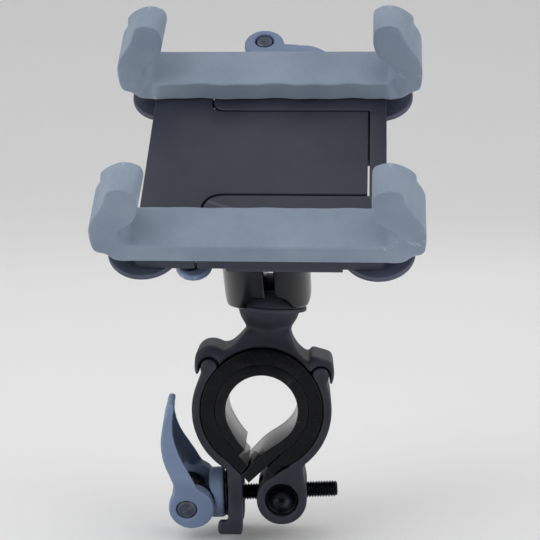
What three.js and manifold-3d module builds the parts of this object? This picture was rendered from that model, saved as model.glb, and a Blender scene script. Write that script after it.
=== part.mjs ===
// Phone handlebar mount: bar clamp with cam lever, ball joint, and a spring-free width-adjusting cradle.
// Millimetres. The handlebar runs along Y through the origin, Z is up, the user looks along +Y.
import * as THREE from "three";
import { mergeVertices } from "three/addons/utils/BufferGeometryUtils.js";
import Module from "manifold-3d";

const wasm = await Module();
wasm.setup();

const GAP = 0.3; // running or assembly clearance between two pieces
const DEG = Math.PI / 180;

// Handlebar clamp
const CLAMP_HALF = 11; // half its width along the bar
const BODY_R = 20.1; // outside of the jaws
const SEAT_R = 17.6; // inside of the jaws, where the outer liner lies
const OUTER_LINER = [13.7, 17.3]; // inner and outer radius
const INNER_LINER = [10.35, 13.4];
const TOP_FROM = 45; // the yoke covers the bar between these two angles
const TOP_TO = 127;
const TIP = [-3.6, -15.9]; // foot of the teardrop bore, where the two liner ends meet
const LEFT_BEAD = [-15.1, 12.3];
const RIGHT_BEAD = [16.9, 10.1];
const BEAD_R = 2.5;
const JAW_TRAVEL = 6; // degrees that each jaw opens
const NUT = [5.8, -26.3]; // barrel nut and boss centre
const BOSS_R = 7.3;
const NUT_R = 4.5;
const FLANGE_X = [-9.7, -5.6];
const FLANGE_FOOT = -36.6;

// Clamp bolt and lever, measured from the barrel nut along the bolt
const BOLT_TILT = 2.5;
const BOLT_ROLL = 16;
const BOLT_R = 2.45;
const BOLT_END = 16.4;
const PIN_X = -27.8;
const PIN_R = 3.05;
const LEVER_HALF = 9.2;
const CAM_ROOM = 0.42; // clearance of a cam head in its saddle
const HEAD = { x: -26.4, z: 0.2, r: 6.6 }; // eccentric head of the clamp lever
const WASHER_X = [-21.2, -16.8]; // cam washer
const FLAT_X = [-16.5, -15.9]; // thin flat washer against the flange

// Ball joint
const BALL = [2.0, 0, 29.5];
const BALL_R = 9.2;
const NECK_LEAN = 4;
const COLLAR_R = [9.5, 10.25];
const SOCKET_R = 12.4;
const SOCKET_SLIT = [0.3, 2.9]; // sides of the slit between the two shells
const SOCKET_TOP = 29.7;
const SOCKET_BOLT_N = 21;
const SOCKET_PIN_U = -21.7;
const SOCKET_HEAD = { u: -20.5, v: 0.1, r: 5.3 }; // eccentric head of the socket lever

// Cradle, measured from the ball centre: u to the right, v up its face, n out of its face
const LEAN = 43;
const TURN = -2.7;
const MID_V = 19.4;
const PLATE_N = [37, 40];
const PLATE_U = 33.4;
const TONGUE = { left: -16.8, right: 28.2, low: 6.4, high: 38.6, corner: 4.5 };
const EAR = { u: 31.2, v: 29.8, r: 9.6 };
const BAND_V = [23.7, 37.7]; // distance of the silicone band's two edges from MID_V
const BAND_TOP = 46.4;
const CLAW_TOP = 65;
const RAIL_V = [43.3, 46.2];
const WIDTH_TRAVEL = 14; // how far the C plate slides out
const HOUSING = { u: 20, low: -13, high: 42.9, back: 30 };
const WIDTH_BOLT = { u: -3.3, n: 34, r: 1.95 };

const finish = (color, roughness, metalness = 0) =>
  new THREE.MeshStandardMaterial({ color, roughness, metalness });
const NYLON = finish(0x34353d, 0.75);
const GLOSSY = finish(0x1c1d24, 0.25);
const RUBBER = finish(0x101113, 0.8);
const LINER = finish(0x1b1c1e, 0.85);
const LEVER = finish(0x6f7f97, 0.5);
const SILICONE = finish(0x818d98, 0.8);
const STEEL = finish(0x1a1b1f, 0.4, 0.9);
const PIN_STEEL = finish(0x4a4d56, 0.4, 0.9);
const PLATE = finish(0x3a3c47, 0.6);
const EAR_BLACK = finish(0x484c5a, 0.55);

// ---- solids -------------------------------------------------------------------------------------

function solid(geometry) {
  const bare = geometry.index ? geometry.toNonIndexed() : geometry.clone();
  const points = new THREE.BufferGeometry();
  points.setAttribute("position", bare.getAttribute("position"));
  const merged = mergeVertices(points, 1e-4);
  const vertProperties = merged.attributes.position.array;
  const triVerts = new Uint32Array(merged.index.array);
  return new wasm.Manifold(new wasm.Mesh({ numProp: 3, vertProperties, triVerts }));
}

const plus = (first, ...rest) => rest.reduce((a, b) => a.add(b), first);
const minus = (first, ...rest) => rest.reduce((a, b) => a.subtract(b), first);
const common = (first, ...rest) => rest.reduce((a, b) => a.intersect(b), first);

function piece(name, body, material) {
  const cut = body.getMesh();
  const g = new THREE.BufferGeometry();
  const xyz = new Float32Array(cut.numVert * 3);
  for (let i = 0; i < cut.numVert; i++) {
    const at = i * cut.numProp;
    xyz.set(cut.vertProperties.subarray(at, at + 3), i * 3);
  }
  g.setAttribute("position", new THREE.BufferAttribute(xyz, 3));
  g.setIndex(new THREE.BufferAttribute(cut.triVerts, 1));
  g.computeVertexNormals();
  const mesh = new THREE.Mesh(g, material);
  mesh.name = name;
  return mesh;
}

// ---- outlines -----------------------------------------------------------------------------------

const outline = (points) => new THREE.Shape(points.map(([x, y]) => new THREE.Vector2(x, y)));

function disc(x, y, r) {
  const s = new THREE.Shape();
  s.absarc(x, y, r, 0, 2 * Math.PI);
  return s;
}

// Part of a ring round the origin, angles in degrees counter-clockwise from +X.
function ring(inner, outer, from, to) {
  const s = new THREE.Shape();
  s.absarc(0, 0, outer, from * DEG, to * DEG, false);
  s.absarc(0, 0, inner, to * DEG, from * DEG, true);
  s.closePath();
  return s;
}

function smooth(points) {
  const curve = new THREE.SplineCurve(points.map(([x, y]) => new THREE.Vector2(x, y)));
  return new THREE.Shape(curve.getPoints(points.length * 3));
}

function rounded(x0, x1, y0, y1, r) {
  const s = new THREE.Shape();
  s.absarc(x1 - r, y0 + r, r, -Math.PI / 2, 0);
  s.absarc(x1 - r, y1 - r, r, 0, Math.PI / 2);
  s.absarc(x0 + r, y1 - r, r, Math.PI / 2, Math.PI);
  s.absarc(x0 + r, y0 + r, r, Math.PI, 1.5 * Math.PI);
  s.closePath();
  return s;
}

function extruded(shape, depth, segments) {
  return new THREE.ExtrudeGeometry(shape, { depth, bevelEnabled: false, curveSegments: segments });
}

// An X-Z outline carried along Y.
function alongY(shape, y0, y1, segments = 20) {
  const g = extruded(shape, y1 - y0, segments);
  g.rotateX(Math.PI / 2);
  g.translate(0, y1, 0);
  return solid(g);
}

// An X-Y outline carried along Z.
function alongZ(shape, z0, z1, segments = 12) {
  const g = extruded(shape, z1 - z0, segments);
  g.translate(0, 0, z0);
  return solid(g);
}

// A Y-Z outline carried along X.
function alongX(shape, x0, x1, segments = 12) {
  const g = extruded(shape, x1 - x0, segments);
  g.rotateX(Math.PI / 2);
  g.rotateZ(Math.PI / 2);
  g.translate(x0, 0, 0);
  return solid(g);
}

function block(x0, x1, y0, y1, z0, z1) {
  const g = new THREE.BoxGeometry(x1 - x0, y1 - y0, z1 - z0);
  g.translate((x0 + x1) / 2, (y0 + y1) / 2, (z0 + z1) / 2);
  return solid(g);
}

function rod(axis, r, from, to, at = [0, 0], sides = 28) {
  const g = new THREE.CylinderGeometry(r, r, to - from, sides);
  const mid = (from + to) / 2;
  if (axis === "x") g.rotateZ(Math.PI / 2).translate(mid, at[0], at[1]);
  if (axis === "y") g.translate(at[0], mid, at[1]);
  if (axis === "z") g.rotateX(Math.PI / 2).translate(at[0], at[1], mid);
  return solid(g);
}

function ball(r, x = 0, y = 0, z = 0) {
  return solid(new THREE.SphereGeometry(r, 36, 24).translate(x, y, z));
}

// A profile [radius, height] turned about Z.
function turned(profile, sides = 32) {
  const g = new THREE.LatheGeometry(profile.map(([r, z]) => new THREE.Vector2(r, z)), sides);
  g.rotateX(Math.PI / 2);
  return solid(g);
}

function turnedAbout([x, z], degrees, shape) {
  const c = Math.cos(degrees * DEG);
  const s = Math.sin(degrees * DEG);
  const moved = shape.getPoints(16).map((p) => {
    const dx = p.x - x;
    const dz = p.y - z;
    return [x + dx * c - dz * s, z + dx * s + dz * c];
  });
  return outline(moved);
}

// ---- handlebar clamp ----------------------------------------------------------------------------

const W = CLAMP_HALF;

// The space that a jaw's bead, neck and ring end sweep as the jaw opens, with clearance.
function jawSweep(bead, from, to, sense) {
  const room = [alongY(disc(...bead, BEAD_R + GAP), -W - 1, W + 1, 12)];
  for (const step of [-0.1, 0.25, 0.5, 0.75, 1.08]) {
    const end = turnedAbout(bead, sense * step * JAW_TRAVEL, ring(SEAT_R - 1, BODY_R + 0.45, from, to));
    room.push(alongY(end, -W - 1, W + 1));
  }
  return plus(...room);
}

function yoke() {
  const crown = outline([
    [-17.5, 12], [-12.2, 16.6], [-11, 16.9], [-8.8, 17.9], [-6.4, 20.3], [-4.6, 22.6], [8.2, 22.6],
    [8.6, 20.2], [9.6, 18], [11, 16], [13.2, 14.1], [18.5, 10], [13, 6], [0, 12], [-13, 8],
  ]);
  const leftHook = outline([
    [-19.3, 16], [-19.4, 11.5], [-18.7, 9.8], [-16.8, 9.6], [-13, 12], [-13, 18],
  ]);
  const rightHook = outline([
    [20.5, 14], [20.9, 10.7], [20.4, 7.7], [19.1, 6.2], [17, 7], [14, 10], [14, 16],
  ]);
  const arch = minus(
    plus(
      alongY(crown, -W, W),
      alongY(disc(-14.8, 14, 4.6), -W, W, 14),
      alongY(disc(16.4, 10.6, 4.4), -W, W, 14),
      alongY(leftHook, -W, W),
      alongY(rightHook, -W, W),
    ),
    rod("y", SEAT_R, -W - 1, W + 1, [0, 0], 96),
    jawSweep(LEFT_BEAD, 139, 175, -1),
    jawSweep(RIGHT_BEAD, -5, 32, 1),
  );
  const shoulders = outline([
    [-W, 0], [W, 0], [W, 12], [6.4, 20.5], [6.4, 26], [-6.4, 26], [-6.4, 20.5], [-W, 12],
  ]);
  const neck = turned([[0, -11], [6, -11], [6, -6.8], [7.2, -4.4], [0, -4.4]], 32);
  return plus(
    common(arch, alongX(shoulders, -30, 30)),
    neck.translate(BALL),
    ball(BALL_R, ...BALL),
  );
}

// The liner layers follow the round seat, then run straight down to the foot of the teardrop.
function linerTop(layer) {
  return alongY(ring(...layer, TOP_FROM, TOP_TO), -W, W);
}

function outerLinerLeft() {
  const s = new THREE.Shape();
  const [inner, outer] = OUTER_LINER;
  s.absarc(0, 0, outer, (TOP_TO + 1.2) * DEG, 236 * DEG, false);
  s.lineTo(-5.9, -18.4);
  s.lineTo(TIP[0] - 0.2, TIP[1] - 0.1);
  s.absarc(0, 0, inner, 229 * DEG, (TOP_TO + 1.2) * DEG, true);
  return alongY(s, -W, W);
}

function innerLinerLeft() {
  const s = new THREE.Shape();
  const [inner, outer] = INNER_LINER;
  s.absarc(0, 0, outer, (TOP_TO + 1.2) * DEG, 226 * DEG, false);
  s.lineTo(-6.3, -12.9);
  s.lineTo(-4.8, -11.4);
  s.quadraticCurveTo(-7.4, -8.6, inner * Math.cos(204 * DEG), inner * Math.sin(204 * DEG));
  s.absarc(0, 0, inner, 204 * DEG, (TOP_TO + 1.2) * DEG, true);
  return alongY(s, -W, W);
}

function innerLinerRight() {
  const s = new THREE.Shape();
  const [inner, outer] = INNER_LINER;
  s.absarc(0, 0, inner, (TOP_FROM - 1.2) * DEG, -45 * DEG, true);
  s.bezierCurveTo(5.2, -9.5, 1.6, -10.9, -0.6, -13.3);
  s.lineTo(TIP[0] + 0.1, TIP[1] - 0.5);
  s.lineTo(-5.6, -18.7);
  s.lineTo(-3.7, -21.1);
  s.lineTo(0.6, -17.1);
  s.quadraticCurveTo(3.4, -14.4, outer * Math.cos(-61 * DEG), outer * Math.sin(-61 * DEG));
  s.absarc(0, 0, outer, -61 * DEG, (TOP_FROM - 1.2) * DEG, false);
  return alongY(s, -W, W);
}

function outerLinerRight() {
  const s = new THREE.Shape();
  const [inner, outer] = OUTER_LINER;
  s.absarc(0, 0, inner, (TOP_FROM - 1.2) * DEG, -60 * DEG, true);
  s.quadraticCurveTo(4, -14.3, 1.6, -16.6);
  s.lineTo(3.0, -18.9);
  s.lineTo(outer * Math.cos(-71 * DEG), outer * Math.sin(-71 * DEG));
  s.absarc(0, 0, outer, -71 * DEG, (TOP_FROM - 1.2) * DEG, false);
  return alongY(s, -W, W);
}

function leftJaw() {
  const shell = new THREE.Shape();
  shell.absarc(0, 0, BODY_R, 139 * DEG, 238 * DEG, false);
  shell.lineTo(FLANGE_X[1], -21);
  shell.lineTo(FLANGE_X[1], -19);
  shell.absarc(0, 0, SEAT_R, 236 * DEG, 139 * DEG, true);
  const flange = outline([
    [FLANGE_X[0], -16.6], [FLANGE_X[0], FLANGE_FOOT], [FLANGE_X[1], FLANGE_FOOT], [FLANGE_X[1], -19.2],
    [-8.6, -16.6],
  ]);
  const hook = outline([
    [-12.7, -33.6], [-12.1, -32.6], [-11, -32.6], [-9, -33.4], [-9, -36.6], [-12.2, -36.6], [-12.7, -36.1],
  ]);
  return minus(
    plus(
      alongY(shell, -W, W),
      alongY(disc(...LEFT_BEAD, BEAD_R), -W, W, 12),
      alongY(flange, -W, W),
      alongY(hook, -W, -7.8),
      alongY(hook, 7.8, W),
    ),
    rod("y", SEAT_R, -W - 1, W + 1, [0, 0], 96),
    block(-11, -4, -3.1, 3.1, -40, -20.8),
  );
}

function rightJaw() {
  const shell = ring(SEAT_R, BODY_R, -63, 32);
  const web = outline([
    [3.4, -19.2], [6.1, -17.2], [8.3, -16.2], [12, -16.1], [11.9, -18], [13.1, -24], [13.1, -26.3],
    [-1, -26], [1, -21],
  ]);
  return minus(
    plus(
      alongY(shell, -W, W),
      alongY(disc(...RIGHT_BEAD, BEAD_R), -W, W, 12),
      alongY(web, -W, W),
      alongY(disc(...NUT, BOSS_R), -W, W, 20),
    ),
    rod("y", SEAT_R, -W - 1, W + 1, [0, 0], 96),
    rod("y", NUT_R + GAP, -W - 1, W + 1, NUT, 28),
    block(-4, 15, -3.1, 3.1, NUT[1] - 4.1, NUT[1] + 4.1),
  );
}

function handlebarClamp() {
  const g = new THREE.Group();
  g.add(piece("yoke", yoke(), NYLON));
  g.add(piece("outer_liner_top", linerTop(OUTER_LINER), RUBBER));
  g.add(piece("inner_liner_top", linerTop(INNER_LINER), LINER));
  g.add(piece("left_jaw", leftJaw(), NYLON));
  g.add(piece("outer_liner_left", outerLinerLeft(), RUBBER));
  g.add(piece("inner_liner_left", innerLinerLeft(), LINER));
  g.add(piece("right_jaw", rightJaw(), NYLON));
  g.add(piece("outer_liner_right", outerLinerRight(), RUBBER));
  g.add(piece("inner_liner_right", innerLinerRight(), LINER));
  return g;
}

// ---- clamp bolt and lever -----------------------------------------------------------------------

function barrelNut() {
  return minus(
    rod("y", NUT_R, -9.6, 9.6, [0, 0], 28),
    rod("x", BOLT_R + GAP, -9, 9),
    rod("y", 2.6, -11, -7.6, [0, 0], 24),
  );
}

function clampBolt() {
  return minus(
    plus(rod("x", BOLT_R, PIN_X + 1, BOLT_END, [0, 0], 24), rod("y", 4.8, -4.8, 4.8, [PIN_X, 0])),
    rod("y", PIN_R + GAP, -6, 6, [PIN_X, 0]),
  );
}

function camWasher() {
  return minus(
    rod("x", 7.4, ...WASHER_X, [0, 0.3], 40),
    rod("x", BOLT_R + GAP, -30, 0),
    rod("y", HEAD.r + CAM_ROOM, -12, 12, [HEAD.x, HEAD.z], 40),
  );
}

function flatWasher() {
  return minus(rod("x", 6.9, ...FLAT_X, [0, 0], 36), rod("x", BOLT_R + GAP, -30, 0));
}

function clampLever() {
  const arm = smooth([
    [-22, 3.6], [-23.9, 6.6], [-25.3, 9.6], [-26.9, 13.2], [-28.8, 17.4], [-30, 21.8], [-30.3, 25.6],
    [-29.9, 29.2], [-29.5, 31.2], [-30.2, 32], [-31.4, 31.7], [-32.2, 28.8], [-33.3, 25], [-34, 20.5],
    [-33.5, 15.4], [-31.9, 10.8], [-30.9, 7.4], [-31.4, 4.6], [-30, 2],
  ]);
  const front = outline([
    [-LEVER_HALF, -8], [LEVER_HALF, -8], [LEVER_HALF, 9], [7, 21.5], [5.4, 29], [3.6, 32.3], [-3.6, 32.3],
    [-5.4, 29], [-7, 21.5], [-LEVER_HALF, 9],
  ]);
  return minus(
    common(
      plus(
        alongY(arm, -LEVER_HALF, LEVER_HALF),
        rod("y", HEAD.r, -LEVER_HALF, LEVER_HALF, [HEAD.x, HEAD.z], 40),
      ),
      alongX(front, -40, -10),
    ),
    block(-40, -10, -5.1, 5.1, -10, 8.6),
    rod("y", PIN_R, -12, 12, [PIN_X, 0]),
  );
}

function clampBoltGroup() {
  const g = new THREE.Group();
  g.position.set(NUT[0], 0, NUT[1]);
  g.rotation.y = -BOLT_TILT * DEG;
  g.add(piece("barrel_nut", barrelNut(), STEEL));
  const rolled = new THREE.Group();
  rolled.rotation.x = BOLT_ROLL * DEG;
  rolled.add(piece("clamp_bolt", clampBolt(), STEEL));
  rolled.add(piece("flat_washer", flatWasher(), STEEL));
  rolled.add(piece("cam_washer", camWasher(), LEVER));
  rolled.add(piece("clamp_lever", clampLever(), LEVER));
  const pin = rod("y", PIN_R - 0.05, -LEVER_HALF, LEVER_HALF, [PIN_X, 0]);
  rolled.add(piece("clamp_lever_pin", pin, PIN_STEEL));
  g.add(rolled);
  return g;
}

// ---- ball joint ---------------------------------------------------------------------------------

function collar() {
  const [inner, outer] = COLLAR_R;
  const at = (r, z) => [Math.sqrt(r * r - z * z), z];
  const low = -1.4;
  const high = 5;
  const profile = [];
  for (const t of [0, 0.25, 0.5, 0.75, 1]) profile.push(at(outer, low + t * (high - low)));
  for (const t of [1, 0.75, 0.5, 0.25, 0]) profile.push(at(inner, low + t * (high - low)));
  profile.push(profile[0]);
  return turned(profile, 40);
}

function collarGroup() {
  const g = new THREE.Group();
  g.position.set(...BALL);
  g.rotation.y = NECK_LEAN * DEG;
  g.add(piece("ball_collar", collar(), NYLON));
  return g;
}

// One of the two shells that grip the ball; side is -1 for the left one.
function socketShell(side) {
  const [from, to] = side < 0 ? [-20, SOCKET_SLIT[0]] : [SOCKET_SLIT[1], 20];
  const profile = [
    [0, -3], [8.6, -3], [10.6, -0.5], [11.9, 3], [SOCKET_R, 7], [SOCKET_R, SOCKET_TOP], [0, SOCKET_TOP],
  ];
  const vee = outline([[-16, 16.2], [-16, -9], [16, -9], [16, 14.4], [2, 1.2], [0, 0.2], [-5, 5]]);
  const arch = solid(extruded(outline([
    [-5.6, 0], [7.6, 0], [6.4, 2], [5.2, 3.6], [3.8, 4.2], [-2.2, 4.2], [-3.6, 3.4], [-4.8, 2],
  ]), 20, 4).rotateX(Math.PI / 2).translate(0, -5, 0).rotateX(-LEAN * DEG));
  return minus(
    common(turned(profile, 48), block(from, to, -20, 20, -10, 40)),
    alongX(vee, -20, 20),
    arch,
    ball(COLLAR_R[1] + GAP),
    rod("x", 2.3, -20, 20, [0, SOCKET_BOLT_N]),
  );
}

function socketBolt() {
  const n = SOCKET_BOLT_N;
  return minus(
    plus(
      rod("x", 2, SOCKET_PIN_U + 1, 17.2, [0, n], 20),
      rod("z", 3.7, n - 2.3, n + 2.3, [SOCKET_PIN_U, 0]),
    ),
    rod("z", 2.6, n - 3, n + 3, [SOCKET_PIN_U, 0]),
  );
}

function socketWasher() {
  return minus(
    rod("x", 4.3, -16.4, -SOCKET_R - GAP, [0, SOCKET_BOLT_N], 32),
    rod("x", 2.3, -20, 0, [0, SOCKET_BOLT_N]),
    rod("z", SOCKET_HEAD.r + CAM_ROOM, 10, 32, [SOCKET_HEAD.u, SOCKET_HEAD.v], 36),
  );
}

function socketNut() {
  const hexagon = new THREE.CylinderGeometry(4.3, 4.3, 3.2, 6);
  hexagon.rotateZ(Math.PI / 2).translate(SOCKET_R + GAP + 1.6, 0, SOCKET_BOLT_N);
  return minus(solid(hexagon), rod("x", 2.3, 5, 20, [0, SOCKET_BOLT_N]));
}

function socketLever() {
  const low = SOCKET_BOLT_N - 5;
  const high = SOCKET_BOLT_N + 5;
  const arm = smooth([
    [-17.5, 2.5], [-18.4, 7], [-19.6, 12], [-20.6, 18], [-20.4, 23.4], [-21.6, 24.4], [-23.2, 23],
    [-24.6, 17], [-24.9, 11], [-24.4, 6], [-25, 2],
  ]);
  return minus(
    plus(alongZ(arm, low, high), rod("z", SOCKET_HEAD.r, low, high, [SOCKET_HEAD.u, SOCKET_HEAD.v], 36)),
    block(-30, -10, -8, 5.6, SOCKET_BOLT_N - 2.7, SOCKET_BOLT_N + 2.7),
    rod("z", 2.3, 10, 32, [SOCKET_PIN_U, 0]),
  );
}

// ---- cradle -------------------------------------------------------------------------------------

const T = TONGUE;

// The parting line between the two plates: the tongue's outline with its flared root, grown by extra.
function tongueOutline(extra) {
  const s = new THREE.Shape();
  s.moveTo(-60, T.low - T.corner - 20);
  s.lineTo(T.left + extra, T.low - T.corner - 20);
  s.lineTo(T.left + extra, T.low - T.corner);
  s.quadraticCurveTo(T.left + extra, T.low - extra, T.left + T.corner, T.low - extra);
  s.lineTo(T.right + extra, T.low - extra);
  s.lineTo(T.right + extra, T.high + extra);
  s.lineTo(T.left + T.corner, T.high + extra);
  s.quadraticCurveTo(T.left + extra, T.high + extra, T.left + extra, T.high + T.corner);
  s.lineTo(T.left + extra, T.high + T.corner + 20);
  s.lineTo(-60, T.high + T.corner + 20);
  s.closePath();
  return s;
}

function earHoles(side) {
  return [-1, 1].map((up) => alongZ(disc(side * EAR.u, MID_V + up * EAR.v, 2.8), 36, 41));
}

function plateBlank() {
  return alongZ(rounded(-PLATE_U, PLATE_U, MID_V - 37.3, MID_V + 37.3, 3), ...PLATE_N);
}

// A ridge on the C plate runs in a groove along each long edge of the tongue.
function grooves(depth, half) {
  const mid = (PLATE_N[0] + PLATE_N[1]) / 2;
  const low = block(T.left + 6, 30, T.low - 1, T.low + depth, mid - half, mid + half);
  const high = block(T.left + 6, 30, T.high - depth, T.high + 1, mid - half, mid + half);
  return plus(low, high);
}

const SCREWS = [[-11, 11.5], [22, 11.5], [-11, 33.5], [22, 33.5]];

function tonguePlate() {
  const holes = SCREWS.map(([u, v]) => rod("z", 1.7, 36, 38.9, [u, v], 16));
  return minus(
    common(plateBlank(), alongZ(tongueOutline(0), 36, 41)),
    grooves(1.4, 0.8),
    ...holes,
    ...earHoles(-1),
  );
}

function cPlate() {
  const { u, n } = WIDTH_BOLT;
  const slot = rounded(u - WIDTH_TRAVEL - 2.5, u + 2.6, n - 2.4, n + 2.4, 2.3);
  const rail = minus(
    plus(block(-21.6, 21.6, ...RAIL_V, 31, 36.7), block(-14, 21.6, ...RAIL_V, 36.5, 37.5)),
    alongY(slot, RAIL_V[0] - 1, RAIL_V[1] + 1),
  );
  const lip = block(-8.7, 22, MID_V - 37.3, MID_V - 35.6, 35.9, 37.5);
  const rib = plus(block(26.7, 30.5, 22, 38.8, 34.6, 36.6), block(28.7, 30.5, 22, 38.8, 36, 37.5));
  const mid = (PLATE_N[0] + PLATE_N[1]) / 2;
  const ridges = plus(
    block(T.left + 6.4, T.right - 1, T.low - 1, T.low + 1, mid - 0.5, mid + 0.5),
    block(T.left + 6.4, T.right - 1, T.high - 1, T.high + 1, mid - 0.5, mid + 0.5),
  );
  return minus(
    plus(minus(plateBlank(), alongZ(tongueOutline(GAP), 36, 41)), rail, lip, rib, ridges),
    ...earHoles(1),
  );
}

function rearHousing() {
  const h = HOUSING;
  const top = PLATE_N[0] - GAP;
  const holes = SCREWS.map(([u, v]) => rod("z", 1.7, 28, 39, [u, v], 16));
  const wide = alongZ(rounded(-h.u, h.u + 6, 2, h.high, 4), h.back, top);
  const foot = alongZ(rounded(-14.5, 14.5, h.low, 20, 4), h.back, top);
  const channel = block(WIDTH_BOLT.u - 4.6, WIDTH_BOLT.u + 4.6, 12, h.high - 3, h.back + 1.6, top + 1);
  return minus(
    plus(wide, foot),
    channel,
    rod("y", WIDTH_BOLT.r + GAP, 30, 50, [WIDTH_BOLT.u, WIDTH_BOLT.n], 20),
    ...holes,
  );
}

function housingScrew([u, v]) {
  return plus(
    turned([[0, 28.1], [1.6, 28.1], [2.7, 28.8], [2.8, 29.7], [0, 29.7]], 20).translate([u, v, 0]),
    rod("z", 1.4, 29.4, 38.6, [u, v], 16),
  );
}

// A hard disc behind the plate with a spigot through it and a post that stands up inside the claw.
function ear(side, up) {
  const v = MID_V + up * EAR.v;
  const plate = turned([[0, 33.6], [8.2, 33.6], [EAR.r, 35], [EAR.r, 36.7], [0, 36.7]], 36);
  const post = [36.3, 39.3].map((u) => side * u).sort((a, b) => a - b);
  return plus(
    plate.translate([side * EAR.u, v, 0]),
    rod("z", 2.5, 36.4, 39.7, [side * EAR.u, v], 20),
    block(...post, v - 4, v + 4, 36.4, 52.9),
  );
}

// Half of a silicone grip: half the band and one hooked claw.
function grip(side, up) {
  const s = new THREE.Shape();
  s.moveTo(side * 0.2, 40.3);
  s.lineTo(side * 34, 40.3);
  s.lineTo(side * 34, 37);
  s.lineTo(side * 41, 37);
  s.quadraticCurveTo(side * 42.3, 37, side * 42.3, 39);
  s.lineTo(side * 42.3, 50);
  s.quadraticCurveTo(side * 42.2, 54.2, side * 38.6, 58.9);
  s.lineTo(side * 36.4, 62.2);
  s.bezierCurveTo(side * 34.4, 66.6, side * 28, 65.4, side * 27.9, 58.6);
  s.bezierCurveTo(side * 28, 55, side * 30.6, 52, side * 32.8, 50.2);
  s.bezierCurveTo(side * 34.6, 48.6, side * 34.4, 47, side * 32, BAND_TOP);
  s.lineTo(side * 0.2, BAND_TOP);
  const [near, far] = BAND_V.map((d) => MID_V + up * d);
  const v = MID_V + up * EAR.v;
  const body = alongY(s, Math.min(near, far), Math.max(near, far), 10);
  const shoulder = outline([
    [near, 36], [far, 36], [far, 50], [far - up * 2.2, 62], [far - up * 5, CLAW_TOP + 1],
    [near + up * 3.4, CLAW_TOP + 0.4], [near, 60],
  ]);
  const pocket = [36, 39.6].map((u) => side * u).sort((a, b) => a - b);
  return minus(
    common(body, alongX(shoulder, -50, 50)),
    block(...pocket, v - 4.3, v + 4.3, 36, 53.3),
  );
}

// ---- width lock ---------------------------------------------------------------------------------

const B = WIDTH_BOLT;
const LOCK_PIN_V = 70.5;
const LOCK_HEAD = { v: 69.3, r: 6 };

function widthBolt() {
  return minus(
    plus(
      rod("y", B.r, 16, LOCK_PIN_V - 1, [B.u, B.n], 20),
      rod("z", 4, B.n - 2, B.n + 2, [B.u, LOCK_PIN_V]),
    ),
    rod("z", 2.9, B.n - 3, B.n + 3, [B.u, LOCK_PIN_V]),
  );
}

function widthNut() {
  const body = block(B.u - 4, B.u + 4, 24, 28, 32, 36.3);
  return minus(body, rod("y", B.r + GAP, 10, 40, [B.u, B.n], 20));
}

function widthSaddle() {
  const foot = RAIL_V[1] + GAP;
  return minus(
    alongZ(outline([[B.u - 7, foot], [B.u + 7, foot], [B.u + 5, 59.4], [B.u - 5, 59.4]]), 30.4, 36.6),
    rod("y", B.r + GAP, 40, 70, [B.u, B.n], 20),
  );
}

function widthWasher() {
  return minus(
    rod("y", 4.8, 59.7, 64.4, [B.u, B.n], 32),
    rod("y", B.r + GAP, 50, 70, [B.u, B.n], 20),
    rod("z", LOCK_HEAD.r + CAM_ROOM, 20, 50, [B.u, LOCK_HEAD.v], 36),
  );
}

function widthLever() {
  const arm = smooth([
    [B.u + 2, 67], [B.u + 5, 69.3], [7.5, 68.7], [11.1, 68.3], [13.6, 67.1], [16.3, 65], [16.6, 63.7],
    [15, 63], [11, 64.4], [7, 64.9], [B.u + 5.4, 64.4], [B.u + 2, 64.5],
  ]);
  return minus(
    plus(
      alongZ(arm, B.n - 4.8, B.n + 4.8),
      rod("z", LOCK_HEAD.r, B.n - 4.8, B.n + 4.8, [B.u, LOCK_HEAD.v], 36),
    ),
    block(B.u - 10, B.u + 5, 60, 80, B.n - 2.4, B.n + 2.4),
    rod("z", 2.6, 20, 50, [B.u, LOCK_PIN_V]),
  );
}

function cradle() {
  const turn = new THREE.Group();
  turn.position.set(...BALL);
  turn.rotation.z = TURN * DEG;
  const g = new THREE.Group();
  g.rotation.x = LEAN * DEG;
  turn.add(g);
  g.add(piece("socket_shell_left", socketShell(-1), GLOSSY));
  g.add(piece("socket_shell_right", socketShell(1), GLOSSY));
  g.add(piece("socket_bolt", socketBolt(), STEEL));
  g.add(piece("socket_washer", socketWasher(), LEVER));
  g.add(piece("socket_nut", socketNut(), STEEL));
  g.add(piece("socket_lever", socketLever(), LEVER));
  const socketPin = rod("z", 2.25, 16, 26, [SOCKET_PIN_U, 0], 20);
  g.add(piece("socket_lever_pin", socketPin, PIN_STEEL));
  g.add(piece("rear_housing", rearHousing(), PLATE));
  g.add(piece("tongue_plate", tonguePlate(), PLATE));
  g.add(piece("c_plate", cPlate(), PLATE));
  SCREWS.forEach((at, i) => g.add(piece(`housing_screw_${i + 1}`, housingScrew(at), STEEL)));
  for (const [side, sideName] of [[-1, "left"], [1, "right"]]) {
    for (const [up, upName] of [[-1, "bottom"], [1, "top"]]) {
      g.add(piece(`ear_${upName}_${sideName}`, ear(side, up), EAR_BLACK));
      g.add(piece(`grip_${upName}_${sideName}`, grip(side, up), SILICONE));
    }
  }
  g.add(piece("width_bolt", widthBolt(), STEEL));
  g.add(piece("width_nut", widthNut(), STEEL));
  g.add(piece("width_saddle", widthSaddle(), PLATE));
  g.add(piece("width_washer", widthWasher(), LEVER));
  g.add(piece("width_lever", widthLever(), LEVER));
  const lockPin = rod("z", 2.55, B.n - 4.8, B.n + 4.8, [B.u, LOCK_PIN_V], 20);
  g.add(piece("width_lever_pin", lockPin, PIN_STEEL));
  return turn;
}

const mount = new THREE.Group();
mount.name = "phone_handlebar_mount";
mount.add(handlebarClamp());
mount.add(clampBoltGroup());
mount.add(collarGroup());
mount.add(cradle());

export default mount;
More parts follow.
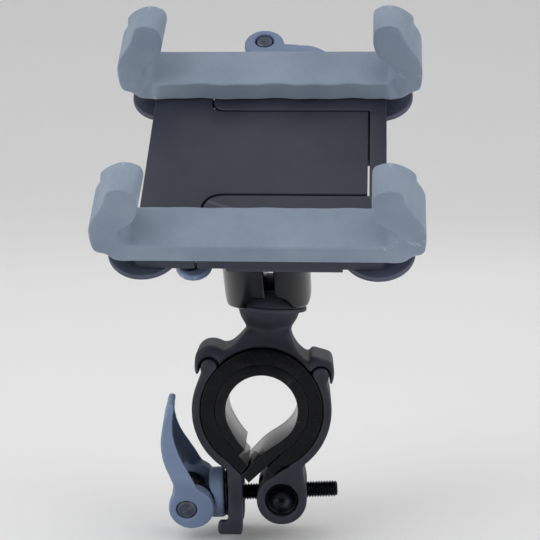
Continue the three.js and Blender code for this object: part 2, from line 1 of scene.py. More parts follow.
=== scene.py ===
"""Looks of a phone handlebar mount: a bar clamp with a cam lever, a ball joint and a phone cradle.

Every class below is one sub-assembly. Sizes are in millimetres in the sub-assembly's own frame, and Place
turns them into metres in the row frame. The mount stands as it does on a bar that runs along Y.
"""
import logging
import math
from dataclasses import dataclass, field
from enum import Enum

import bmesh
import bpy
import numpy as np
from mathutils import Matrix, Vector
from mathutils.geometry import tessellate_polygon


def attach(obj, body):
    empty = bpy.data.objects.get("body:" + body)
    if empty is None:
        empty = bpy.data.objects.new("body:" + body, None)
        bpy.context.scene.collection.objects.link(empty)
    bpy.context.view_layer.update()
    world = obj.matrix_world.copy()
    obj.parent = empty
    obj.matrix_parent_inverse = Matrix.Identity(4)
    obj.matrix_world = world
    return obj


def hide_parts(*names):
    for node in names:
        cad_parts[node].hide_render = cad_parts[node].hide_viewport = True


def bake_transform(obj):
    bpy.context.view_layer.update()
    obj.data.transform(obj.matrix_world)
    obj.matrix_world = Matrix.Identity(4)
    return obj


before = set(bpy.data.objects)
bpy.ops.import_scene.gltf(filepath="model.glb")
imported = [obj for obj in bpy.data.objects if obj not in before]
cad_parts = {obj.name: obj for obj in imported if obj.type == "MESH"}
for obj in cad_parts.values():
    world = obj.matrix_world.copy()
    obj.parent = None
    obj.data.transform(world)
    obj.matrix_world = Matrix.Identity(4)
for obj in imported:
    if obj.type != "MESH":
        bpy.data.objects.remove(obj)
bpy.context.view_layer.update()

LOG = logging.getLogger("mount")
Array = np.ndarray
Mesh = bpy.types.Mesh
Thing = bpy.types.Object
Tree = bpy.types.NodeTree
Socket = bpy.types.NodeSocket
Pair = tuple[float, float]
Triple = tuple[float, float, float]
MM = 0.001
COARSE = 0.6  # face size the relaxing passes are counted for
FINE = 0.3  # face size of a softened body


# ---- frames ----


@dataclass(frozen=True)
class Place:
    """A right-handed frame: its origin in millimetres and three unit axes, in the row frame."""

    origin: Triple
    a: Triple
    b: Triple
    c: Triple

    def point(self, x: float, y: float, z: float) -> Triple:
        """The place of a local point, in millimetres: origin + x a + y b + z c."""
        axes = np.array([self.a, self.b, self.c])
        return tuple(np.asarray(self.origin) + np.array([x, y, z]) @ axes)

    def out(self, points: Array) -> Array:
        """Local points, an array of rows (x, y, z) in millimetres, as metres in the row frame."""
        axes = np.array([self.a, self.b, self.c])
        return (np.asarray(self.origin) + points @ axes) * MM

    def along(self, axis: str, x: float = 0, y: float = 0, z: float = 0) -> "Place":
        """A frame at a local point whose third axis is this frame's named axis.

        Args:
            axis: "a", "b" or "c", the axis that becomes the third one.
            x: First local coordinate of the new origin.
            y: Second local coordinate of the new origin.
            z: Third local coordinate of the new origin.

        Returns:
            The new frame, with the other two axes in cyclic order.
        """
        axes = (self.a, self.b, self.c)
        third = "abc".index(axis)
        return Place(self.point(x, y, z), *(axes[(third + i) % 3] for i in (1, 2, 3)))


def turned_place(origin: Triple, matrix: Matrix) -> Place:
    """A frame at origin whose axes are the columns of a rotation matrix."""
    return Place(origin, *(tuple(matrix.to_3x3().col[i]) for i in range(3)))


def spin(degrees: float, axis: str) -> Matrix:
    """The rotation by an angle in degrees about one of the row frame's axes."""
    return Matrix.Rotation(math.radians(degrees), 3, axis)


BALL = (2.0, 0.0, 29.5)
NUT = (5.8, 0.0, -26.3)
BAR = Place((0, 0, 0), (1, 0, 0), (0, 0, 1), (0, -1, 0))
NECK = turned_place(BALL, spin(4, "Y"))
BARREL = turned_place(NUT, spin(-2.5, "Y"))
BOLT = turned_place(NUT, spin(-2.5, "Y") @ spin(16, "X"))
CRADLE = turned_place(BALL, spin(-2.7, "Z") @ spin(43, "X"))
CRADLE_DOWN = Place(CRADLE.origin, CRADLE.a, CRADLE.c, tuple(-np.array(CRADLE.b)))
ARCH = turned_place(BALL, spin(-2.7, "Z") @ spin(90, "X"))


# ---- shapes ----


@dataclass
class Shape:
    """A closed surface: points in metres in the row frame, with four-sided and three-sided faces."""

    points: Array
    quads: Array = field(default_factory=lambda: np.zeros((0, 4), int))
    tris: Array = field(default_factory=lambda: np.zeros((0, 3), int))

    def volume(self) -> float:
        """Signed volume: the sum over triangles of p . (q x r) / 6."""
        corners = np.concatenate([self.quads[:, [0, 1, 2]], self.quads[:, [0, 2, 3]], self.tris])
        p, q, r = (self.points[corners[:, i]] for i in range(3))
        return float(np.einsum("ij,ij->", p, np.cross(q, r)) / 6)

    def outward(self) -> "Shape":
        """The same surface with its faces turned to point out."""
        if self.volume() >= 0:
            return self
        return Shape(self.points, self.quads[:, ::-1], self.tris[:, ::-1])

    def mesh(self, name: str) -> Mesh:
        """A Blender mesh of the surface, with poles and seams merged and round stretches shaded smooth.

        Args:
            name: Name of the mesh.

        Returns:
            The new mesh. Its three-sided faces, which are flat ends, stay flat.
        """
        made = bpy.data.meshes.new(name)
        made.from_pydata(self.points.tolist(), [], self.quads.tolist() + self.tris.tolist())
        smooth = np.concatenate([np.ones(len(self.quads), bool), np.zeros(len(self.tris), bool)])
        made.polygons.foreach_set("use_smooth", smooth)
        work = bmesh.new()
        work.from_mesh(made)
        bmesh.ops.remove_doubles(work, verts=work.verts, dist=2e-7)
        bmesh.ops.dissolve_degenerate(work, edges=work.edges, dist=1e-8)
        work.to_mesh(made)
        work.free()
        made.set_sharp_from_angle(angle=math.radians(38))
        return made


def joined(*shapes: Shape) -> Shape:
    """Several shapes as one, point and face lists end to end."""
    start = np.cumsum([0] + [len(s.points) for s in shapes[:-1]])
    return Shape(
        np.concatenate([s.points for s in shapes]),
        np.concatenate([s.quads + i for s, i in zip(shapes, start)]),
        np.concatenate([s.tris + i for s, i in zip(shapes, start)]),
    )


def net(rows: int, columns: int, closed: bool = True) -> Array:
    """Four-sided faces of a grid of points, row by row.

    Args:
        rows: Number of rows.
        columns: Number of points in a row.
        closed: True if each row is a loop.

    Returns:
        An array of rows of four point numbers.
    """
    i, j = np.meshgrid(np.arange(rows - 1), np.arange(columns if closed else columns - 1), indexing="ij")
    k = (j + 1) % columns
    this, after = i * columns, (i + 1) * columns
    return np.stack([this + j, this + k, after + k, after + j], -1).reshape(-1, 4)


def grown(grid: Array, place: Place) -> Shape:
    """The closed shape of a grid of points (x, y, z) whose rows are loops."""
    return Shape(place.out(grid.reshape(-1, 3)), net(*grid.shape[:2])).outward()


def lathed(radius: Array, z: Array, place: Place) -> Shape:
    """Rows of radii round the third axis: (r cos t, r sin t, z), with one row at each height z."""
    t = np.linspace(0, 2 * np.pi, radius.shape[1], endpoint=False)
    height = np.repeat(z[:, None], len(t), 1)
    return grown(np.stack([radius * np.cos(t), radius * np.sin(t), height], -1), place)


def polar(r: float, degrees: float) -> Pair:
    """The point at a radius and an angle."""
    return r * math.cos(math.radians(degrees)), r * math.sin(math.radians(degrees))


def bezier(points: list, steps: int) -> Array:
    """A Bezier curve: the sum over k of C(n, k) (1 - s)^(n - k) s^k p_k, for s from 0 to 1."""
    p = np.asarray(points, float)
    n = len(p) - 1
    s = np.linspace(0, 1, steps)[:, None]
    return sum(math.comb(n, k) * (1 - s) ** (n - k) * s**k * p[k] for k in range(n + 1))


def arc(cx: float, cy: float, r: float, start: float, end: float, steps: int = 24) -> Array:
    """Points of an arc, (cx + r cos t, cy + r sin t), with t from start to end in degrees."""
    t = np.radians(np.linspace(start, end, steps + 1))
    return np.stack([cx + r * np.cos(t), cy + r * np.sin(t)], -1)


def spline(points: Array | list, steps: int, closed: bool = False) -> Array:
    """A Catmull-Rom curve through points, worked out for all spans at once.

    Each span is p1 + s/2 (p2 - p0) + s^2/2 (2 p0 - 5 p1 + 4 p2 - p3) + s^3/2 (3 p1 - p0 - 3 p2 + p3).

    Args:
        points: Rows of coordinates to pass through.
        steps: Steps in each span.
        closed: True for a loop.

    Returns:
        Rows of coordinates along the curve.
    """
    p = np.asarray(points, float)
    if closed:
        around = np.concatenate([p[-1:], p, p[:2]])
    else:
        around = np.concatenate([2 * p[:1] - p[1:2], p, 2 * p[-1:] - p[-2:-1]])
    p0, p1, p2, p3 = (around[i : len(around) - 3 + i, None] for i in range(4))
    s = np.linspace(0, 1, steps, endpoint=False)[None, :, None]
    curve = p1 + s / 2 * (p2 - p0) + s**2 / 2 * (2 * p0 - 5 * p1 + 4 * p2 - p3) + s**3 / 2 * (
        3 * p1 - p0 - 3 * p2 + p3
    )
    curve = curve.reshape(-1, p.shape[1])
    return curve if closed else np.concatenate([curve, p[-1:]])


def rounded(points: list[Pair], radius: float | list[float], steps: int = 5) -> Array:
    """A polygon with each corner replaced by a curve that touches both of its sides.

    The curve is the parabola (1-s)^2 a + 2 s (1-s) p + s^2 b, where a and b lie on the sides at one radius
    from corner p, or nearer on a short side.

    Args:
        points: Corners in order.
        radius: One radius for all corners, or one each; 0 leaves a corner sharp.
        steps: Steps round each corner.

    Returns:
        Rows (x, y) of the rounded outline.
    """
    p = np.asarray(points, float)
    r = np.broadcast_to(np.asarray(radius, float), len(p))[:, None]
    before, after = np.roll(p, 1, 0) - p, np.roll(p, -1, 0) - p
    reach = [np.minimum(r, 0.48 * np.linalg.norm(d, axis=1, keepdims=True)) for d in (before, after)]
    a = p + before / np.linalg.norm(before, axis=1, keepdims=True) * reach[0]
    b = p + after / np.linalg.norm(after, axis=1, keepdims=True) * reach[1]
    s = np.linspace(0, 1, steps + 1)[None, :, None]
    corner = (1 - s) ** 2 * a[:, None] + 2 * s * (1 - s) * p[:, None] + s**2 * b[:, None]
    kept = [c if w > 0 else q[None] for c, w, q in zip(corner, r[:, 0], p)]
    return np.concatenate(kept)


def panel(x: Pair, y: Pair, radius: float | list[float], steps: int = 5) -> Array:
    """A rectangle with rounded corners, anticlockwise from its low corner."""
    return rounded([(x[0], y[0]), (x[1], y[0]), (x[1], y[1]), (x[0], y[1])], radius, steps)


def inset(outline: Array, distance: float) -> Array:
    """An outline moved into the material on its left: each point goes by d (m + n) / (1 + m . n).

    m and n are the inward unit normals of the two sides that meet at the point.
    """
    side = np.roll(outline, -1, 0) - outline
    side /= np.maximum(np.linalg.norm(side, axis=1, keepdims=True), 1e-9)
    n = np.stack([-side[:, 1], side[:, 0]], -1)
    m = np.roll(n, 1, 0)
    return outline + distance * (m + n) / np.maximum(1 + np.sum(m * n, axis=1, keepdims=True), 0.4)


def turning(outline: Array, left: bool) -> Array:
    """The outline in the wanted sense: anticlockwise if left is true."""
    x, y = outline.T
    area = np.sum(x * np.roll(y, -1) - np.roll(x, -1) * y)
    return outline if (area > 0) == left else outline[::-1]


def slab(outline: Array, low: float, high: float, place: Place, rim: float, holes: tuple = ()) -> Shape:
    """An outline with holes carried along the third axis, its rims rolled over by a quarter circle.

    A wall point is inset(outline, rim (1 - sin t)) at height low + rim (1 - cos t), for t from 0 to a right
    angle, and the same upside down at the top.

    Args:
        outline: Rows (x, y) of the outer edge.
        low: Lowest height.
        high: Highest height.
        place: Frame of the piece.
        rim: Radius of the rolled edge.
        holes: More outlines, cut out of the first.

    Returns:
        The closed shape.
    """
    t = np.radians(np.linspace(0, 90, 5))
    depth = np.concatenate([rim * (1 - np.sin(t)), rim * (1 - np.sin(t[::-1]))])
    height = np.concatenate([low + rim * (1 - np.cos(t)), high - rim * (1 - np.cos(t[::-1]))])
    loops = [turning(np.asarray(outline), True)] + [turning(np.asarray(h), False) for h in holes]
    walls = []
    for loop in loops:
        rows = [np.column_stack([inset(loop, d), np.full(len(loop), z)]) for d, z in zip(depth, height)]
        walls.append(Shape(place.out(np.concatenate(rows)), net(len(depth), len(loop))))
    body = joined(*walls)
    flat = [[(x, y, 0.0) for x, y in inset(loop, depth[0])] for loop in loops]
    cap = np.array(tessellate_polygon(flat))
    first = np.cumsum([0] + [len(loop) * len(depth) for loop in loops[:-1]])
    bottom = np.concatenate([np.arange(len(loop)) + f for loop, f in zip(loops, first)])
    last = [f + len(loop) * (len(depth) - 1) for loop, f in zip(loops, first)]
    top = np.concatenate([np.arange(len(loop)) + f for loop, f in zip(loops, last)])
    xy = np.concatenate([np.array(f)[:, :2] for f in flat])
    p, q, r = (xy[cap[:, i]] for i in range(3))
    up = ((q - p)[:, 0] * (r - p)[:, 1] - (q - p)[:, 1] * (r - p)[:, 0]) > 0
    cap = np.where(up[:, None], cap, cap[:, ::-1])
    body.tris = np.concatenate([top[cap], bottom[cap[:, ::-1]]])
    return body.outward()


def turned(profile: list[Pair] | Array, place: Place, sides: int = 96) -> Shape:
    """A profile (r, z) turned about the third axis: (r cos t, r sin t, z) for t once round.

    Args:
        profile: Rows (r, z) from axis to axis, or a closed loop that stays off the axis.
        place: Frame of the piece.
        sides: Steps round the axis.

    Returns:
        The closed shape.
    """
    r, z = np.asarray(profile, float).T
    return lathed(np.repeat(r[:, None], sides, 1), z, place)


def rod(r: float, low: float, high: float, place: Place, edge: float = 0.3) -> Shape:
    """A round bar along the third axis with its ends eased by a quarter circle."""
    t = np.radians(np.linspace(0, 90, 5))
    foot = np.column_stack([r - edge + edge * np.sin(t), low + edge * (1 - np.cos(t))])
    head = np.column_stack([foot[::-1, 0], low + high - foot[::-1, 1]])
    return turned(np.concatenate([[(0, low)], foot, head, [(0, high)]]), place, sides=72)


def tube(inner: float, outer: float, low: float, high: float, place: Place, edge: float = 0.25) -> Shape:
    """A bush or washer: a rounded rectangle (r, z) turned about the third axis."""
    loop = panel((inner, outer), (low, high), edge, 3)
    return turned(np.concatenate([loop, loop[:1]]), place)


def ball(r: float, place: Place) -> Shape:
    """A ball, (r cos e, r sin e) turned about the third axis for e from pole to pole."""
    e = np.radians(np.linspace(-90, 90, 49))
    return turned(np.column_stack([r * np.cos(e), r * np.sin(e)]), place)


def box(x: Pair, y: Pair, z: Pair, place: Place) -> Shape:
    """A plain block, used only to cut other shapes."""
    return slab(panel(x, y, 0), *z, place, rim=0.01)


def threaded(r: float, low: float, high: float, pitch: float, place: Place) -> Shape:
    """A screw thread of radius r - depth |2 frac(z / pitch - t / 2 pi) - 1|, chamfered at its ends.

    Args:
        r: Outer radius.
        low: Start of the thread.
        high: End of the thread.
        pitch: Advance in one turn.
        place: Frame of the piece.

    Returns:
        The closed shape.
    """
    sides, depth, chamfer = 40, 0.61 * pitch, 0.7
    z = np.arange(low, high, pitch / 8)
    t = np.linspace(0, 2 * np.pi, sides, endpoint=False)
    wave = np.abs(2 * np.mod(z[:, None] / pitch - t / (2 * np.pi), 1) - 1)
    cut = depth * np.clip(1.35 * wave - 0.2, 0, 1)
    ends = np.minimum(z - low, z[-1] - z)[:, None]
    radius = np.minimum(r - cut, r - chamfer + ends)
    return lathed(np.pad(radius, ((1, 1), (0, 0))), np.pad(z, 1, mode="edge"), place)


def hexagon(across: float, low: float, high: float, bore: float, place: Place) -> Shape:
    """A nut of radius across / 2 / cos(angle from the nearest flat's middle), its corners eased."""
    t = np.linspace(0, 2 * np.pi, 96, endpoint=False)
    flat = across / 2 / np.cos(np.mod(t, np.pi / 3) - np.pi / 6)
    eased, hole = np.minimum(flat, 1.06 * across / 2), np.full_like(t, bore)
    z = low + (high - low) * np.array([0, 0, 0.14, 0.86, 1, 1, 0])
    return lathed(np.stack([hole, eased, flat, flat, eased, hole, hole]), z, place)


def linked(name: str, data: bpy.types.ID) -> Thing:
    """A new object in the scene."""
    made = bpy.data.objects.new(name, data)
    bpy.context.scene.collection.objects.link(made)
    return made


def evaluated(o: Thing) -> Mesh:
    """The object's mesh with its modifiers applied, as a new mesh."""
    bpy.context.view_layer.update()
    graph = bpy.context.evaluated_depsgraph_get()
    return bpy.data.meshes.new_from_object(o.evaluated_get(graph), depsgraph=graph)


class Carving:
    """A body that is joined and cut as solids, then softened to the small radii of a moulding."""

    def __init__(self, start: Shape | str) -> None:
        """Starts from a shape, or from a merged copy of the named CAD solid."""
        self.mesh = start.mesh("carving") if isinstance(start, Shape) else self.copied(start)

    @staticmethod
    def copied(node: str) -> Mesh:
        """A merged copy of a CAD solid's mesh."""
        mesh = bpy.data.meshes.new("carving")
        work = bmesh.new()
        work.from_mesh(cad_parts[node].data)
        bmesh.ops.remove_doubles(work, verts=work.verts, dist=2e-6)
        work.to_mesh(mesh)
        work.free()
        return mesh

    def _run(self, others: list[Mesh], operation: str) -> "Carving":
        """Applies one boolean operation with each of the other meshes."""
        for other in others:
            pair = [linked("work", m) for m in (self.mesh, other)]
            step = pair[0].modifiers.new("step", "BOOLEAN")
            step.operation, step.solver, step.object = operation, "EXACT", pair[1]
            self.mesh = evaluated(pair[0])
            for o in pair:
                bpy.data.objects.remove(o)
        return self

    def add(self, *shapes: Shape) -> "Carving":
        """Joins shapes to the body."""
        return self._run([s.mesh("added") for s in shapes], "UNION")

    def cut(self, *shapes: Shape) -> "Carving":
        """Takes shapes out of the body."""
        return self._run([s.mesh("cut") for s in shapes], "DIFFERENCE")

    def soften(self, name: str, passes: int) -> Mesh:
        """Rebuilds the body in small even faces and relaxes them, which eases every edge.

        Args:
            name: Name of the finished mesh.
            passes: Relaxing passes at the coarse face size. More give larger radii, and finer faces need more
                for the same radius.

        Returns:
            The finished mesh.
        """
        o = linked("work", self.mesh)
        remesh = o.modifiers.new("even", "REMESH")
        remesh.mode, remesh.voxel_size, remesh.use_smooth_shade = "VOXEL", FINE * MM, True
        ease = o.modifiers.new("ease", "SMOOTH")
        ease.factor, ease.iterations = 0.5, passes * round((COARSE / FINE) ** 2)
        made = evaluated(o)
        made.name = name
        bpy.data.objects.remove(o)
        return made


# ---- finishes ----


RANGE_ENDS = ("From Min", "From Max", "To Min", "To Max")


class Feel(Enum):
    """How a finish feels, which picks the grain of its surface."""

    MOULDED = "moulded"
    SOFT = "soft"
    GLOSS = "gloss"
    METAL = "metal"


def linear(rgb: Triple) -> tuple[float, float, float, float]:
    """A colour given as 0 to 255 on screen, as the linear values a shader takes."""
    c = np.asarray(rgb, float) / 255
    return (*np.where(c <= 0.04045, c / 12.92, ((c + 0.055) / 1.055) ** 2.4).tolist(), 1.0)


def filled(node: bpy.types.Node, values: dict[str, float]) -> bpy.types.Node:
    """The node, with its inputs set by name."""
    for name, value in values.items():
        node.inputs[name].default_value = value
    return node


@dataclass(frozen=True)
class Finish:
    """One finish: a colour that drifts between two shades, with its grain, gloss and pale edges, which are
    painted edge highlight and partly wear.
    """

    name: str
    slot: str  # the record's name for it
    shade: Triple
    pale: Triple
    feel: Feel
    rough: Pair
    grain: float = 0.5  # size of the grain in millimetres
    relief: float = 0.02  # height of the grain in millimetres
    cloud: float = 9.0  # size of the colour drift in millimetres
    rim: float = 0.3  # how much paler the edges are: painted edge highlight, partly wear
    dust: float = 0.0  # share of small pale specks
    metallic: float = 0.0
    specular: float = 0.5
    sheen: float = 0.0

    def material(self) -> bpy.types.Material:
        """The node material: clouds pick the shade, pointed edges (painted edge highlight, partly wear) and
        dust specks make it paler, grain is bump.

        Returns:
            The new material.
        """
        made = bpy.data.materials.new(self.name)
        made.use_nodes = True
        tree = made.node_tree
        shader = filled(tree.nodes["Principled BSDF"], {
            "Metallic": self.metallic, "Specular IOR Level": self.specular,
            "Sheen Weight": self.sheen, "Sheen Roughness": 0.5,
        })
        at = tree.nodes.new("ShaderNodeTexCoord").outputs["Object"]
        clouds = self._noise(tree, at, self.cloud, 4.0, 0.6)
        fine = self._noise(tree, at, self.grain, 3.0, 0.65)
        ramp = tree.nodes.new("ShaderNodeValToRGB")
        for stop, position, tone in zip(ramp.color_ramp.elements, (0.34, 0.68), (self.shade, self.pale)):
            stop.position, stop.color = position, linear(tone)
        tree.links.new(clouds, ramp.inputs["Fac"])
        colour = ramp.outputs["Color"]
        # Pointed edges turn paler: this is painted edge highlight, partly wear.
        pointed = tree.nodes.new("ShaderNodeNewGeometry").outputs["Pointiness"]
        edge = self._span(tree, pointed, (0.515, 0.6), (0, self.rim))
        # One pale tone serves both the painted edge highlight and the dust specks.
        edge_highlight_and_dust_tone = tuple(min(255.0, 40 + 1.25 * c) for c in self.pale)
        colour = self._mix(tree, edge, colour, linear(edge_highlight_and_dust_tone))
        if self.dust:
            specks = self._noise(tree, at, self.grain, 1.0, 0.4)
            share = self._span(tree, specks, (0.62, 0.74), (0, self.dust))
            colour = self._mix(tree, share, colour, linear(edge_highlight_and_dust_tone))
        tree.links.new(colour, shader.inputs["Base Color"])
        tree.links.new(self._span(tree, fine, (0.3, 0.7), self.rough), shader.inputs["Roughness"])
        values = {"Strength": 0.35 if self.feel is Feel.GLOSS else 0.8, "Distance": self.relief * MM}
        bump = filled(tree.nodes.new("ShaderNodeBump"), values)
        tree.links.new(self._height(tree, at, fine), bump.inputs["Height"])
        tree.links.new(bump.outputs["Normal"], shader.inputs["Normal"])
        return made

    def _height(self, tree: Tree, at: Socket, fine: Socket) -> Socket:
        """The bump's height: spark-eroded pits for a moulding, else the plain grain."""
        if self.feel is Feel.MOULDED:
            pits = tree.nodes.new("ShaderNodeTexVoronoi")
            pits.feature = "SMOOTH_F1"
            pits.inputs["Scale"].default_value = 1 / (1.5 * self.grain * MM)
            tree.links.new(at, pits.inputs["Vector"])
            total = tree.nodes.new("ShaderNodeMath")
            total.operation = "ADD"
            tree.links.new(pits.outputs["Distance"], total.inputs[0])
            tree.links.new(fine, total.inputs[1])
            return total.outputs["Value"]
        return fine

    @staticmethod
    def _noise(tree: Tree, at: Socket, size: float, detail: float, rough: float) -> Socket:
        """A noise whose features are size millimetres across."""
        values = {"Scale": 1 / (size * MM), "Detail": detail, "Roughness": rough}
        made = filled(tree.nodes.new("ShaderNodeTexNoise"), values)
        tree.links.new(at, made.inputs["Vector"])
        return made.outputs["Fac"]

    @staticmethod
    def _span(tree: Tree, value: Socket, source: Pair, target: Pair) -> Socket:
        """value taken from one range to another, held at its ends."""
        ends = dict(zip(RANGE_ENDS, (*source, *target)))
        made = filled(tree.nodes.new("ShaderNodeMapRange"), ends)
        tree.links.new(value, made.inputs["Value"])
        return made.outputs["Result"]

    @staticmethod
    def _mix(tree: Tree, share: Socket, base: Socket, other: tuple) -> Socket:
        """base with a share of another colour laid over it."""
        made = tree.nodes.new("ShaderNodeMix")
        made.data_type = "RGBA"
        tree.links.new(share, made.inputs["Factor"])
        tree.links.new(base, made.inputs[6])
        made.inputs[7].default_value = other
        return made.outputs[2]


class Look(Enum):
    """The mount's finishes, each with the record's slot that it answers to."""

    NYLON = Finish(
        "glass_nylon", "nylon", (22, 23, 33), (37, 39, 51), Feel.MOULDED, (0.5, 0.66),
        grain=0.32, relief=0.035, cloud=9, rim=0.5, dust=0.1, specular=0.35,
    )
    SHELL = Finish(
        "gloss_black", "gloss_shell", (5, 6, 10), (12, 14, 20), Feel.GLOSS, (0.14, 0.24),
        grain=0.5, relief=0.02, cloud=6, rim=0.2, dust=0.05, specular=0.2,
    )
    OUTER = Finish(
        "outer_rubber", "outer_liner", (4, 5, 8), (12, 13, 18), Feel.SOFT, (0.14, 0.22),
        grain=0.8, relief=0.01, cloud=5, rim=0.35, dust=0.03, specular=0.12,
    )
    INNER = Finish(
        "inner_rubber", "inner_liner", (5, 6, 8), (14, 15, 19), Feel.SOFT, (0.14, 0.22),
        grain=0.6, relief=0.01, cloud=4, rim=0.4, dust=0.03, specular=0.14,
    )
    LEVER = Finish(
        "grey_blue_lever", "lever", (98, 114, 142), (114, 131, 160), Feel.MOULDED, (0.42, 0.6),
        grain=0.4, relief=0.02, cloud=14, rim=0.35, dust=0.08, specular=0.4,
    )
    SILICONE = Finish(
        "grey_silicone", "silicone", (113, 127, 144), (128, 141, 157), Feel.SOFT, (0.55, 0.72),
        grain=0.3, relief=0.015, cloud=22, rim=0.2, dust=0.12, specular=0.35, sheen=0.1,
    )
    PLATE = Finish(
        "plate_black", "plate", (34, 37, 50), (43, 46, 59), Feel.MOULDED, (0.42, 0.56),
        grain=0.3, relief=0.015, cloud=20, rim=0.35, dust=0.06, specular=0.35,
    )
    EAR = Finish(
        "ear_black", "ear", (52, 57, 73), (66, 71, 89), Feel.MOULDED, (0.45, 0.6),
        grain=0.35, relief=0.02, cloud=10, rim=0.3, dust=0.08, specular=0.4,
    )
    STEEL = Finish(
        "black_steel", "black_steel", (14, 15, 20), (26, 28, 35), Feel.METAL, (0.2, 0.36),
        grain=0.7, relief=0.015, cloud=3, rim=0.3, dust=0.06, metallic=0.85,
    )
    PIN = Finish(
        "pin_steel", "pin_steel", (50, 54, 68), (72, 78, 94), Feel.METAL, (0.35, 0.5),
        grain=0.3, relief=0.012, cloud=1.6, rim=0.5, dust=0.15, metallic=0.6,
    )


class Workshop:
    """Turns meshes into pieces, each with its finish, its body and the solids it stands for."""

    def __init__(self) -> None:
        """Makes the material of every finish once."""
        self.materials = {look: look.value.material() for look in Look}

    def dressed(self, name: str, mesh: Mesh | Shape, look: Look, *nodes: str) -> Thing:
        """A piece with its finish and replaced solids, riding on nothing yet.

        Args:
            name: Name of the piece.
            mesh: Its mesh or shape, in place.
            look: Its finish.
            nodes: The CAD solids it stands for.

        Returns:
            The new object, at the origin.
        """
        mesh = mesh.mesh(name) if isinstance(mesh, Shape) else mesh
        mesh.materials.clear()
        mesh.materials.append(self.materials[look])
        made = linked(name, mesh)
        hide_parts(*nodes)
        LOG.info("%s: %d faces", name, len(mesh.polygons))
        return made

    def piece(self, name: str, mesh: Mesh | Shape, look: Look, body: str, *nodes: str) -> Thing:
        """A piece that rides on one body. With no nodes it stands for the solid of its own name."""
        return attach(self.dressed(name, mesh, look, *(nodes or (name,))), body)


# ---- handlebar clamp ----

SEAM_GAP = 0.1  # half the angle left open where two liners meet, in degrees
HEAD_GAP = 0.42  # gap between a lever's head and the hollow of its washer


@dataclass
class HandlebarClamp:
    """The yoke over the bar and the two jaws that hang from it, with their two layers of liner."""

    half: float = 11.0
    outer: Pair = (13.44, 17.5)
    inner: Pair = (10.35, 13.41)
    tip: Pair = (-3.5, -16.4)  # where the inner layer crosses the teardrop's foot
    seam: float = 44.5  # angle of the liners' joint on the right

    def build(self, shop: Workshop) -> None:
        """Makes the three bodies and the four strips of liner."""
        for node, passes in (("yoke", 40), ("left_jaw", 10), ("right_jaw", 10)):
            shop.piece(node + "_body", Carving(node).soften(node, passes), Look.NYLON, node, node)
        self._strip(shop, "outer", self.outer_long(), Look.OUTER)
        self._strip(shop, "inner", self.inner_long(), Look.INNER)
        short = slab(self.outer_short(), -self.half, self.half, BAR, 0.3)
        shop.piece("outer_liner_short", short, Look.OUTER, "right_jaw", "outer_liner_right")
        hooked = slab(self.inner_short(), -self.half + 0.05, self.half - 0.05, BAR, 0.3)
        shop.piece("inner_liner_short", hooked, Look.INNER, "right_jaw", "inner_liner_right")

    def _strip(self, shop: Workshop, layer: str, outline: Array, look: Look) -> None:
        """A strip of liner that runs from the yoke into the left jaw; it rides on no body."""
        nodes = (f"{layer}_liner_top", f"{layer}_liner_left")
        shape = slab(outline, -self.half, self.half, BAR, 0.3)
        strip = shop.dressed(f"{layer}_liner_long", shape, look, *nodes)
        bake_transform(strip)

    def outer_long(self) -> Array:
        """Outer layer: a ring from the seam to the foot of the teardrop, its end cut square to the tip."""
        low, high = self.outer
        return np.concatenate([
            arc(0, 0, high, self.seam + SEAM_GAP, 236, 90),
            [(-5.9, -18.4), (-3.9, -16.1)],
            arc(0, 0, low, 229, self.seam + SEAM_GAP, 90),
        ])

    def inner_long(self) -> Array:
        """Inner layer: a ring that runs down inside the outer layer to the teardrop's left side."""
        low, high = self.inner
        foot = (-4.8, -11.4)
        return np.concatenate([
            arc(0, 0, high, self.seam + SEAM_GAP, 226, 90),
            [(-6.3, -12.9), foot],
            bezier([foot, (-7.4, -8.6), polar(low, 204)], 14)[1:-1],
            arc(0, 0, low, 204, self.seam + SEAM_GAP, 90),
        ])

    def inner_short(self) -> Array:
        """Inner layer of the right jaw: a ring, then an S that crosses under the teardrop's foot."""
        low, high = self.inner
        start = self.seam - SEAM_GAP
        bore = arc(0, 0, low, start, -45, 60)
        crossing = bezier([bore[-1], (5.2, -9.5), (1.6, -10.9), (-0.6, -13.3)], 16)[1:]
        foot = [self.tip, (-5.6, -18.7), (-3.7, -21.1), (0.6, -17.1)]
        heel = bezier([foot[-1], (3.4, -14.4), polar(high, -61)], 16)[1:-1]
        return np.concatenate([bore, crossing, foot, heel, arc(0, 0, high, -61, start, 60)])

    def outer_short(self) -> Array:
        """Outer layer of the right jaw: a ring that ends over the boss."""
        low, high = self.outer
        start = self.seam - SEAM_GAP
        shelf = spline([polar(low, -60), (4, -14.3), (1.6, -16.6)], 6)
        bore, back = arc(0, 0, low, start, -59, 60), arc(0, 0, high, -71, start, 70)
        return np.concatenate([bore, shelf, [(3.0, -18.9)], back])


# ---- clamp bolt and lever ----


